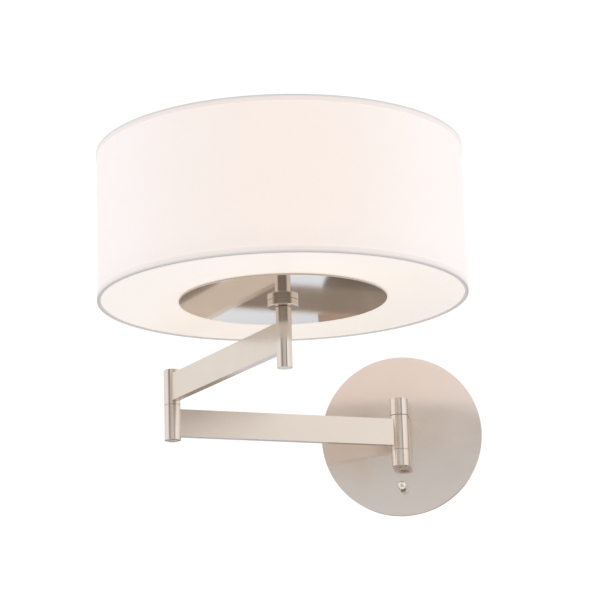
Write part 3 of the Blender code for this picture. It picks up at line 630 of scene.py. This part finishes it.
def strap():
    half, tall = high("mounting_strap").x, high("mounting_strap").z
    depth = -low("mounting_strap").y
    cuts = []
    for side, turn in ((1, 0), (-1, math.pi)):
        x = side * BOX_SCREW_ASIDE
        cuts.append((box_form((6, 9, 4.8)), moved((x, 0, 0))))
        cuts += [(rod(2.4, -9, 9, 32), on_plate(x + end, 0)) for end in (-3, 3)]
        cuts.append((box_form((1.2, 9, 5.0)), moved((side * 33, 0, 0))))
        cuts.append((rod(1.4, 60, 90, 20), moved((0, -depth / 2, 0)) @ laid_along(turn)))
    cuts.append((rod(1.95, -9, 9, 32), on_plate(EARTH_SCREW_ASIDE, 0)))
    cuts.append((rod(5.0, -9, 9, 48), on_plate(0, 0)))
    obj = raw_object("mounting_strap_bent", box_form((2 * half, 1.2, 2 * tall)), moved((0, -0.6, 0)))
    for side in (1, -1):
        tab = box_form((1.5, depth - 0.3, 2 * tall - 2))
        carve(obj, (tab, moved((side * (half - 0.8), -(depth + 0.3) / 2, 0))), operation="UNION")
    carve(obj, *cuts)
    settle(obj, "wall_side", ["mounting_strap"], plated, 0.15)


def threaded(shank, length):
    """Profile of a threaded shank that runs down from local 0."""
    pitch, depth = 0.7, 0.35
    points = [(0, -length), (shank - 0.6, -length)]
    turns = int((length - 1.2) / pitch)
    for i in range(turns):
        foot = -length + 0.6 + i * pitch
        points += [(shank - depth, foot), (shank, foot + pitch / 2)]
    return points + [(shank - depth, -length + 0.6 + turns * pitch), (shank - 0.1, 0)]


def cross_recess(place):
    """Two arms with softened edges, cut into the head of a screw."""
    arms = []
    for angle in (0.4, 0.4 + TAU / 4):
        arm = box_form((4.2, 0.75, 1.8))
        bmesh.ops.bevel(
            arm, geom=arm.edges[:], offset=0.1, offset_type="OFFSET", affect="EDGES", segments=1,
            profile=0.5, material=-1, clamp_overlap=True,
        )
        arms.append((arm, place @ turned(angle)))
    return arms


def screw_piece(node, shank, length, head, height, place, look):
    profile = threaded(shank, length)
    profile += [(head, 0), (head, height * 0.55), (head * 0.72, height), (0, height)]
    recess = cross_recess(place @ moved((0, 0, height)))
    piece(node + "_cut", spun(profile, 32), place, "wall_side", [node], look, 0.0, recess)


def fixings():
    seat = 1.45
    tall = -low("box_screw_left").y - seat
    for node, aside, shank, length, head, look in (
        ("box_screw_right", BOX_SCREW_ASIDE, 2.05, 22.0, 4.3, plated),
        ("box_screw_left", -BOX_SCREW_ASIDE, 2.05, 22.0, 4.3, plated),
        ("earth_screw", EARTH_SCREW_ASIDE, 1.7, 9.0, 3.2, green),
    ):
        screw_piece(node, shank, length, head, tall, on_plate(aside, 0, seat), look)
    back = high("bracket_screw_upper").y
    length = 6.5
    for node, level in zip(("bracket_screw_upper", "bracket_screw_lower"), BRACKET_SCREW_LEVELS):
        place = on_plate(0, level, -low(node).y - length) @ Matrix.Rotation(math.pi, 4, "X")
        screw_piece(node, 2.0, length, 3.6, back - low(node).y - length, place, plated)
    for turn, node in ((0, "plate_grub_right"), (math.pi, "plate_grub_left")):
        grub = spun([(0, 69.2), (1.15, 69.2), (1.15, 75.7), (0.95, 75.9), (0, 75.9)], 24)
        place = moved((0, -1.5, 0)) @ laid_along(turn)
        socket = (prism_form(6, 0.7, 74.6, 77.0), place)
        piece(node + "_socket", grub, place, "wall_side", [node], steel, 0.0, [socket])


def bracket():
    """Block that ends in a half round about the wall hinge, with a mouth for the lower arm."""
    radius, back, top = high("wall_bracket")
    obj = raw_object("wall_bracket_clevis", rod(radius, -top, top), moved(KNUCKLE))
    deep = back - KNUCKLE.y
    carve(
        obj, (box_form((2 * radius, deep, 2 * top)), moved((0, KNUCKLE.y + deep / 2, 0))), operation="UNION",
    )
    mouth = high("lower_wall_barrel").z + JAW_GAP
    reach = radius + 0.5
    carve(
        obj,
        (box_form((60, 60, 2 * mouth)), moved((0, KNUCKLE.y + reach - 30, 0))),
        (rod(4.35, -60, 60, 48), moved(KNUCKLE)),
    )
    settle(obj, "wall_side", ["wall_bracket"], upright_grain, 0.3)


def wall_pins():
    for node, top, flip in (
        ("wall_pin_upper", high("wall_pin_upper").z, 0.0),
        ("wall_pin_lower", -low("wall_pin_lower").z, math.pi),
    ):
        profile = [
            (0, 5), (4.2, 5), (4.2, top - 0.8), (5.2, top - 0.8), (5.2, top - 0.35), (4.6, top),
            (0, top + 0.1),
        ]
        place = moved(KNUCKLE) @ Matrix.Rotation(flip, 4, "X")
        cut = driver_slot(place, top, 0.5)
        piece(node + "_head", spun(profile, 64), place, "wall_side", [node], upright_grain, 0.08, [cut])


def switch():
    lo, hi = low("switch_body"), high("switch_body")
    size, middle = hi - lo, (lo + hi) / 2
    obj = raw_object("switch_case", box_form(size), moved(middle))
    aside = size.x / 2 + 14.6
    carve(obj, *[
        (box_form((30, 0.6, size.z * 0.7)), moved((middle.x + side * aside, middle.y + y, middle.z)))
        for side in (1, -1) for y in (-4, 0, 4)
    ])
    settle(obj, "wall_side", ["switch_body"], black, 0.5)
    place = on_plate(0, SWITCH_LEVEL)
    start, end, pitch = 3.1, -low("switch_bushing").y, 0.6
    points = [(0, start), (2.8, start)]
    for i in range(int((end - 0.8 - PLATE_FRONT) / pitch)):
        foot = PLATE_FRONT + i * pitch
        points += [(2.75, foot), (3.0, foot + pitch / 2)]
    points += [(2.75, end - 0.5), (2.6, end), (2.2, end), (1.9, end - 0.4), (1.9, start + 1), (0, start + 1)]
    piece("switch_bushing_threaded", spun(points, 64), place, "wall_side", ["switch_bushing"], upright_grain)
    foot, top = -high("switch_nut").y, -low("switch_nut").y
    obj = raw_object("switch_nut_hexagon", prism_form(6, 4.5, foot, top), place)
    cone = [(0, foot - 0.1), (6, foot - 0.1), (6, top - 1.1), (4.15, top), (3.8, top + 0.1), (0, top + 0.1)]
    carve(obj, (spun(cone, 48), place), operation="INTERSECT")
    carve(obj, (rod(3.1, 0, 20, 48), place))
    settle(obj, "wall_side", ["switch_nut"], upright_grain, 0.1)


def toggle():
    """Ball-ended toggle, waisted below its ball."""
    neck = 0.95
    foot = [
        (0, -1.7), (0.9, -1.5), (1.5, -0.8), (1.7, 0), (1.5, 0.8), (1.1, 1.5), (neck, 2.4), (neck, 5.6),
        (1.05, 7.0),
    ]
    form = spun(foot + ball_outline(4.1, 11.5, 1.3, 24), 64)
    place = moved((0.0, -TOGGLE_PIVOT_OUT, SWITCH_LEVEL)) @ Matrix.Rotation(TOGGLE_TILT, 4, "X")
    piece("toggle_with_ball", form, place, "switch_lever", ["switch_lever"], toggle_nickel_painted_highlight)


def supply():
    """Sleeved supply lead that leaves the back of the bracket, closed by a cap in the wall box."""
    end = high("supply_lead").y
    sleeve = spun([(0, 0), (1.6, 0), (1.6, end + 18), (1.45, end + 18.2), (0, end + 18.2)], 32)
    back = moved((0, 0, LEAD_LEVEL)) @ Matrix.Rotation(-math.pi / 2, 4, "X")
    start = back @ moved((0, 0, -21.0))
    piece("supply_lead_sleeve", sleeve, start, "wall_side", ["supply_lead"], white_pvc)
    ribs = []
    for i in range(5):
        ribs += [(3.0, end - 7 + i * 2.2), (3.3, end - 6.2 + i * 2.2)]
    cap = spun([
        (1.75, end - 8), (2.7, end - 8), *ribs, (2.4, end + 4.6), (0, end + 5.4), (0, end + 1),
        (1.75, end + 0.5),
    ], 32)
    piece("supply_lead_cap", cap, back, "wall_side", [], phenolic, 0.1)


# --- Arms --------------------------------------------------------------------------------------
def barrel(node, point, bore, body, edge, below=0.0, above=0.0):
    """Round of a hinge; a lip at an end hides the flange of the bush there."""
    radius = (high(node).x - low(node).x) / 2
    foot, top = levels(node)
    lip = radius - LIP
    profile = [(bore, foot)]
    if below:
        profile += [(lip, foot), (lip, foot - below)]
    profile += [(radius, foot - below), (radius, top + above)]
    if above:
        profile += [(lip, top + above), (lip, top)]
    piece(node + "_round", spun([*profile, (bore, top)]), moved(point), body, [node], upright_grain, edge)


def arm_bar(name, node, start, end, start_radius, end_radius, body, look):
    """Flat bar, coped to fit the barrels at its two ends."""
    foot, top = levels(node)
    run = end - start
    place = moved(raised((start + end) / 2, (foot + top) / 2)) @ turned(math.atan2(run.y, run.x))
    copes = [
        (rod(radius - 0.02, -90, 90), moved(point))
        for radius, point in ((start_radius, start), (end_radius, end))
    ]
    piece(name, box_form((run.length, 7.0, top - foot)), place, body, [node], look, 0.45, copes)


def bush(node, point, body, flange=None, barrel_radius=0.0):
    """Bush of a hinge, with a flange at its foot, at its top or none; a flange lies inside the lip."""
    foot, top = levels(node)
    inner = 4.5 if point is KNUCKLE else 4.0
    sleeve = inner + 1.05 if flange else (high(node).x - low(node).x) / 2
    widest = barrel_radius - LIP - 0.15
    profile = [(inner, foot), (sleeve, foot), (sleeve, top), (inner, top)]
    if flange == "foot":
        profile[1:2] = [(widest, foot), (widest, foot + 0.6), (sleeve, foot + 0.6)]
    elif flange == "top":
        profile[2:3] = [(sleeve, top - 0.6), (widest, top - 0.6), (widest, top)]
    piece(node + "_round", spun(profile, 64), moved(point), body, [node], bronze, 0.08 if flange else 0.1)


def stop_screw(node, point, angle, level, body, tip, end):
    """Headless screw with a six-sided socket, let into the side of a barrel."""
    place = moved(raised(point, level)) @ laid_along(angle)
    form = spun([(0, tip), (0.9, tip), (1.15, tip + 0.3), (1.15, end), (0, end)], 32)
    socket = (prism_form(6, 0.65, end - 0.8, end + 1), place)
    piece(node + "_socket", form, place, body, [node], steel, 0.0, [socket])


def lower_arm():
    body = "lower_arm"
    arm_bar("lower_bar_flat", "lower_arm_bar", KNUCKLE, ELBOW, WALL_ROUND, ELBOW_ROUND, body, lower_grain)
    barrel("lower_wall_barrel", KNUCKLE, 5.8, body, 0.12, LIP_RISE, 0.6)
    barrel("lower_elbow_barrel", ELBOW, 3.95, body, 0.12, 0.0, LIP_RISE)
    bush("wall_bush_upper", KNUCKLE, body, "top", WALL_ROUND)
    bush("wall_bush_lower", KNUCKLE, body, "foot", WALL_ROUND)
    stop_screw("wall_stop_screw", KNUCKLE, LOWER_HEADING + math.pi, 7.6, body, 3.45, 8.1)
    foot, top = levels("elbow_pin")
    pin = spun([
        (0, foot + 0.15), (2.6, foot), (4.2, foot), (4.6, foot + 0.35), (4.6, foot + 0.8), (3.7, foot + 0.8),
        (3.7, top - 0.4), (3.3, top), (2.3, top), (2.3, 0), (0, 0),
    ], 64)
    cut = driver_slot(moved(ELBOW), foot, 1.1)
    piece("elbow_pin_slotted", pin, moved(ELBOW), body, ["elbow_pin"], upright_grain, 0.08, [cut])


def upper_arm():
    body = "upper_arm"
    arm_bar("upper_bar_flat", "upper_arm_bar", ELBOW, STEM, ELBOW_ROUND, STEM_ROUND, body, upper_grain)
    barrel("upper_elbow_barrel", ELBOW, 5.3, body, 0.12)
    barrel("stem_barrel", STEM, 5.2, body, 0.15)
    bush("elbow_bush_lower", ELBOW, body, "foot", ELBOW_ROUND)
    bush("elbow_bush_upper", ELBOW, body)
    stop_screw("elbow_stop_screw", ELBOW, UPPER_HEADING + math.pi, 26.0, body, 2.95, 7.1)
    foot, top = high("upper_elbow_barrel").z, high("elbow_top_cap").z
    cap = spun([
        (0, foot - 3), (5.0, foot - 3), (5.0, foot + 0.2), (6.9, foot + 0.2), (6.9, top - 0.3), (6.4, top),
        (0, top + 0.1),
    ])
    piece("elbow_cap_turned", cap, moved(ELBOW), body, ["elbow_top_cap"], upright_grain, 0.12)
    foot = low("stem_plug").z
    plug = [(0, foot + 0.4), (3.6, foot + 0.4), (4.1, foot), (5.1, foot), (5.1, foot + 5), (0, foot + 5)]
    on_stem("stem_plug_turned", spun(plug), ["stem_plug"], upright_grain, 0.12)


# --- Head --------------------------------------------------------------------------------------
def threaded_tube():
    foot, top = levels("stem_tube")
    bore, root, crest = 3.8, 4.72, 5.0
    turns = int((top - foot) / 1.2)
    pitch = (top - foot) / turns
    thread = []
    for i in range(turns):
        thread += [(root, foot + i * pitch), (crest, foot + (i + 0.5) * pitch)]
    tube = spun([(bore, foot), *thread, (root, top), (bore, top)], 40)
    on_stem("stem_tube_threaded", tube, ["stem_tube"], plated)


def chamfered_nut(node):
    foot, top = levels(node)
    place = moved(STEM)
    obj = raw_object(node + "_hexagon", prism_form(6, 9.0, foot, top), place)
    lens = [
        (0, foot - 0.1), (7.6, foot - 0.1), (9.3, foot + 0.9), (9.3, top - 0.9), (7.6, top + 0.1),
        (0, top + 0.1),
    ]
    carve(obj, (spun(lens, 64), place), operation="INTERSECT")
    carve(obj, (rod(STEM_BORE, foot - 5, top + 5, 48), place))
    settle(obj, "upper_arm", [node], plated, 0.1)


def head():
    threaded_tube()
    for node in ("clamp_nut", "cluster_nut", "spider_nut"):
        chamfered_nut(node)
    foot, top = low("stem_collar").z, low("mirror_disc").z - 0.03
    collar = spun([(STEM_BORE, foot), (12.6, foot), (13.0, foot + 0.4), (13.0, top), (STEM_BORE, top)], 128)
    on_stem("stem_collar_turned", collar, ["stem_collar"], upright_grain, 0.35)
    for name, node, look, edge in (
        ("mirror_disc_polished", "mirror_disc", disc_grain, 0.3),
        ("diffuser_sheet", "diffuser", opal, 0.4),
    ):
        sheet = ring_form(STEM_BORE, high(node).x - STEM.x, *levels(node), 192)
        on_stem(name, sheet, [node], look, edge)
    knurled_finial()
    lamp_cluster()


def knurled_finial():
    foot, top = levels("finial")
    teeth = 96
    form = spun([
        (STEM_BORE, foot), (9.0, foot), (9.5, foot + 0.5), (9.5, foot + 3.6), (8.4, foot + 4.4),
        (5.0, foot + 6.8), (2.5, top), (0, top), (0, foot + 5.4), (STEM_BORE, foot + 5.2),
    ], teeth)
    for vert in form.verts:
        on_rim = math.hypot(vert.co.x, vert.co.y) > 9.3
        if on_rim and round(math.atan2(vert.co.y, vert.co.x) / TAU * teeth) % 2:
            vert.co.x *= 0.955
            vert.co.y *= 0.955
    on_stem("finial_knurled", form, ["finial"], upright_grain)


def lamp_cluster():
    """Bracket that carries the two lampholders back to back, and the bulbs in them."""
    foot, top = levels("lampholder_bracket")
    middle = raised(STEM, BULB_LEVEL)
    cuts = [(rod(STEM_BORE, foot - 5, top + 5, 48), moved(STEM))]
    for side in (1, -1):
        flat = middle + heading(UPPER_HEADING) * side * 33.5
        cuts.append((box_form((40, 60, 60)), moved(flat) @ turned(UPPER_HEADING)))
        vent = middle + heading(UPPER_HEADING + TAU / 4) * side * 15
        cuts.append((box_form((14, 3, 3)), moved(vent) @ turned(UPPER_HEADING)))
    piece(
        "lampholder_bracket_cast", rod(15, foot, top), moved(STEM), "upper_arm", ["lampholder_bracket"],
        plated, 0.6, cuts,
    )
    for tag, angle in (("a", UPPER_HEADING), ("b", UPPER_HEADING + math.pi)):
        holder_and_bulb(tag, moved(middle) @ laid_along(angle))


def holder_and_bulb(tag, place):
    """Lampholder, screw base and globe on one axis, from the stem outwards."""
    body = "upper_arm"
    start, end = 13.75, 47.75
    bore, groove, outside = 9.0, 10.4, 11.0
    ribs = []
    for i in range(7):
        foot = start + 9 + i * 3.0
        ribs += [(groove, foot), (outside, foot + 0.6), (outside, foot + 2.2), (groove, foot + 2.8)]
    holder = spun([
        (0, start), (10.0, start), (outside, start + 1), (outside, start + 8), *ribs, (outside, end - 3.2),
        (outside, end), (bore, end), (bore, start + 8), (0, start + 8),
    ], 48)
    node = "lampholder_" + tag
    piece(node + "_ribbed", holder, place, body, [node], phenolic, 0.2)
    foot = start + 8.25
    top = foot + 22
    root, crest = 5.9, 6.5
    base = [(0, foot), (2.5, foot), (3.0, foot + 1.5), (5.6, foot + 4)]
    for i in range(5):
        base += [(root, foot + 5 + i * 2.6), (crest, foot + 6.3 + i * 2.6)]
    base += [(root, foot + 18), (crest, foot + 18.6), (crest, top), (0, top)]
    node = "bulb_base_" + tag
    piece(node + "_screw", spun(base, 48), place, body, [node], brass, 0.2)
    neck = top + 0.25
    glass = [(5.9, neck), (6.2, neck + 2.5)] + ball_outline(GLOBE_RADIUS, neck + 6 + GLOBE_RADIUS, 8.5, 30)
    inside = [(max(r - 1.0, 0.0), z if r > 1e-6 else z - 1.0) for r, z in reversed(glass)]
    node = "bulb_glass_" + tag
    piece(node + "_globe", spun(glass + inside, 64), place, body, [node], frosted)


# --- Shade -------------------------------------------------------------------------------------
def rolled_sheet(name, length, width, columns, rows, radius_at, foot, thick):
    """Sheet laid flat, then rolled round the stem, with its flat place kept as its UV map."""
    form = bmesh.new()
    form.loops.layers.uv.new("flat")
    bmesh.ops.create_grid(form, x_segments=columns, y_segments=rows, size=0.5, calc_uvs=True)
    for vert in form.verts:
        share, level = vert.co.x + 0.5, vert.co.y + 0.5
        angle = UPPER_HEADING + length / CLOTH_RADIUS * (share - 0.5)
        place = STEM + heading(angle) * radius_at(share)
        vert.co = (place.x, place.y, foot + width * level)
    bmesh.ops.recalc_face_normals(form, faces=form.faces)
    bmesh.ops.solidify(form, geom=form.faces[:], thickness=thick)
    return raw_object(name, form, Matrix.Identity(4))


def shade():
    length, width = CLOTH_FLAT
    lap = CLOTH_OVERLAP / length

    def drum_radius(share):
        """The end of the cloth steps inward, behind the start of it."""
        step = min(max((share - (1 - 1.35 * lap)) / (0.3 * lap), 0.0), 1.0)
        return CLOTH_RADIUS - (CLOTH_THICK + 0.03) * step * step * (3 - 2 * step)

    drum = rolled_sheet(
        "shade_drum_cloth", length, width, 300, 24, drum_radius, low("shade_drum").z, CLOTH_THICK,
    )
    settle(drum, "upper_arm", ["shade_drum"], shade_cloth)
    tapes = [
        hem("hem_bottom_tape", "hem_bottom", SHADE_LOW, 1), hem("hem_top_tape", "hem_top", SHADE_HIGH, -1),
    ]
    wires()


def hem(name, node, edge, inward):
    """Cloth tape folded over one edge of the drum, with its flat place kept as its UV map."""
    outer = SHADE_RADIUS + TAPE_THICK + 0.02
    inner = SHADE_RADIUS - 2.4
    t = TAPE_THICK
    end = edge + inward * TAPE_DEPTH
    bend = edge + inward * t
    profile = [
        (inner, end), (inner, bend), (inner + 0.35, edge + inward * 0.12), (inner + 1.0, edge),
        (outer - 1.0, edge), (outer - 0.35, edge + inward * 0.12), (outer, bend), (outer, end),
        (outer - t, end), (outer - t, bend + inward * 0.1), (inner + t, bend + inward * 0.1),
        (inner + t, end),
    ]
    form = spun(profile, 256)
    flat = form.loops.layers.uv.new("flat")
    for face in form.faces:
        middle = face.calc_center_median()
        base = math.atan2(middle.y, middle.x)
        for loop in face.loops:
            spot = loop.vert.co
            turn = math.remainder(math.atan2(spot.y, spot.x) - base, TAU) + base
            reach = abs(spot.z - edge) + (0 if math.hypot(spot.x, spot.y) > outer - 1.2 else -1)
            loop[flat].uv = (turn / TAU + 0.5, 0.5 + 0.1 * reach)
    return on_stem(name, form, [node], hem_tape)


def wire_ring(radius, level):
    sides = 12
    loop = [
        (radius + WIRE_RADIUS * math.cos(TAU * i / sides), level + WIRE_RADIUS * math.sin(TAU * i / sides))
        for i in range(sides)
    ]
    return spun(loop, 192)


def wires():
    """The two rings that hold the shade round, and the hub and strips that carry the upper one."""
    node = "shade_bottom_ring"
    radius = high(node).x - STEM.x - 1.3
    on_stem("shade_bottom_wire", wire_ring(radius, sum(levels(node)) / 2), [node], white_wire)
    node = "shade_spider"
    hub, level = low(node).z, high(node).z - 1.3
    on_stem("shade_spider_ring", wire_ring(radius, level), [node], white_wire)
    on_stem("shade_spider_hub", ring_form(5.2, 13.0, hub, hub + 2.0), [], white_wire, 0.3)
    start_radius = 10.0
    reach = radius + 1.0 - start_radius
    drop = level - (hub + 1)
    run = math.hypot(reach, drop)
    tilt = Matrix.Rotation(-math.atan2(drop, reach), 4, "Y") @ moved((run / 2, 0, 0))
    for i in range(3):
        angle = UPPER_HEADING + TAU / 4 + TAU / 3 * i
        start = raised(STEM + heading(angle) * start_radius, hub + 1)
        piece(
            f"shade_spider_strip_{i}", box_form((run + 0.6, 4.0, 1.6)), moved(start) @ turned(angle) @ tilt,
            "upper_arm", [], white_wire, 0.35,
        )


# --- Pieces that keep their CAD shape ----------------------------------------------------------
def dress_nodes():
    material, _ = white_pvc
    for node in ("lower_arm_lead", "upper_arm_lead"):
        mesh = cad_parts[node].data
        mesh.materials.clear()
        mesh.materials.append(material)


# --- Studio ------------------------------------------------------------------------------------
def floor():
    """Plain pale floor; polished metal shows a painted reflection of it, bluish behind the lamp and painted
    shade before it.
    """
    form = bmesh.new()
    bmesh.ops.create_grid(form, x_segments=1, y_segments=1, size=60000.0)
    obj = raw_object("floor", form, moved((0, 0, FLOOR_LEVEL)))
    made, g, shader = new_material("pale_floor")
    fine_surface(g, shader, (0.66, 0.65, 0.64), (0.69, 0.68, 0.67), 0.7, 40.0, relief=0.0)
    nodes = made.node_tree.nodes
    x, y, _ = g.split(in_millimetres(g))
    aside = g.maths("ABSOLUTE", x)
    ahead = g.maths("MULTIPLY", y, -1.0)
    before = g.spread(g.maths("SUBTRACT", ahead, g.maths("MULTIPLY", aside, 0.2)), 200.0, 1300.0, 0.0, 1.0)
    reach = g.vector("LENGTH", in_millimetres(g))
    painted_reflection_shade = g.maths("MULTIPLY", before, g.spread(reach, 3450.0, 3750.0, 1.0, 0.0))
    painted_reflection_shade = g.maths("MAXIMUM", painted_reflection_shade, g.spread(y, 2820.0, 2920.0, 0.0, 1.0))
    behind = g.spread(g.maths("SUBTRACT", y, g.maths("MULTIPLY", aside, 0.8)), 0.0, 800.0, 0.0, 1.0)
    far = g.mix(behind, rgb(PAINTED_REFLECTION_ASIDE), rgb(PAINTED_REFLECTION_BEHIND))
    # Painted reflection: an emission that only reflections see, in place of the floor.
    mirrored = g.add("ShaderNodeEmission")
    g.join(g.mix(painted_reflection_shade, far, rgb(PAINTED_REFLECTION_BEFORE)), mirrored.inputs["Color"])
    shown = g.choose("Is Glossy Ray", nodes["Principled BSDF"], mirrored)
    g.join(shown, nodes["Material Output"].inputs["Surface"])
    obj.data.materials.append(made)


def studio_light():
    """White surround, dimmer behind the camera, with two darker uprights that stripe the rounds."""
    world = bpy.data.worlds.new("studio")
    bpy.context.scene.world = world
    world.use_nodes = True
    world.node_tree.nodes.clear()
    g = Graph(world.node_tree)
    x, y, z = g.split(g.add("ShaderNodeTexCoord").outputs["Generated"])
    angle = g.maths("ARCTAN2", x, g.maths("MULTIPLY", y, -1.0))     # 0 behind the camera, rising to its right
    around = g.add("ShaderNodeValToRGB")
    g.join(g.maths("ADD", g.maths("DIVIDE", angle, TAU), 0.5), around.inputs["Fac"])
    ramp = around.color_ramp
    ramp.interpolation = "EASE"
    while len(ramp.elements) > 1:
        ramp.elements.remove(ramp.elements[-1])
    for i, (degrees, level) in enumerate(SURROUND):
        spot = ramp.elements[0] if i == 0 else ramp.elements.new(0.5 + degrees / 360)
        spot.position = 0.5 + degrees / 360
        spot.color = (level, level, level, 1.0)
    above = g.spread(z, 0.45, 0.95, 0.0, 1.0)
    under = g.spread(z, 0.143, 0.174, 0.8, 0.0)
    sky = g.mix(g.maths("MAXIMUM", above, under), around.outputs["Color"], rgb((0.95, 0.95, 0.95)))
    lit = g.add("ShaderNodeBackground")
    g.join(sky, lit.inputs["Color"])
    plain = g.add("ShaderNodeBackground")
    plain.inputs["Color"].default_value = rgb((1.0, 1.0, 1.0))
    plain.inputs["Strength"].default_value = BACKDROP_LEVEL
    shown = g.choose("Is Camera Ray", lit, plain)
    g.join(shown, g.add("ShaderNodeOutputWorld").inputs["Surface"])


def camera():
    """Below the lamp and in front of it, looking up."""
    yaw, pitch, roll = [math.radians(turn) for turn in CAMERA_TURNS]
    forward = Vector((-math.sin(yaw) * math.cos(pitch), math.cos(yaw) * math.cos(pitch), math.sin(pitch)))
    level = Vector((math.cos(yaw), math.sin(yaw), 0.0))
    upright = level.cross(forward)
    right = math.cos(roll) * level + math.sin(roll) * upright
    up = -math.sin(roll) * level + math.cos(roll) * upright
    data = bpy.data.cameras.new("viewpoint")
    data.sensor_width = 36.0
    data.lens = CAMERA_LENS
    data.clip_end = 50.0
    obj = bpy.data.objects.new("viewpoint", data)
    bpy.context.scene.collection.objects.link(obj)
    rows = [(*row, centre) for row, centre in zip(zip(right, up, -forward), CAMERA_PLACE)]
    obj.matrix_world = Matrix((*rows, (0, 0, 0, 1)))
    bpy.context.scene.camera = obj


bpy.context.scene.view_settings.view_transform = "Standard"
camera()
studio_light()
floor()
for build in (
    backplate, strap, fixings, bracket, wall_pins, switch, toggle, supply, lower_arm, upper_arm, head, shade,
    dress_nodes,
):
    build()

bpy.context.view_layer.update()
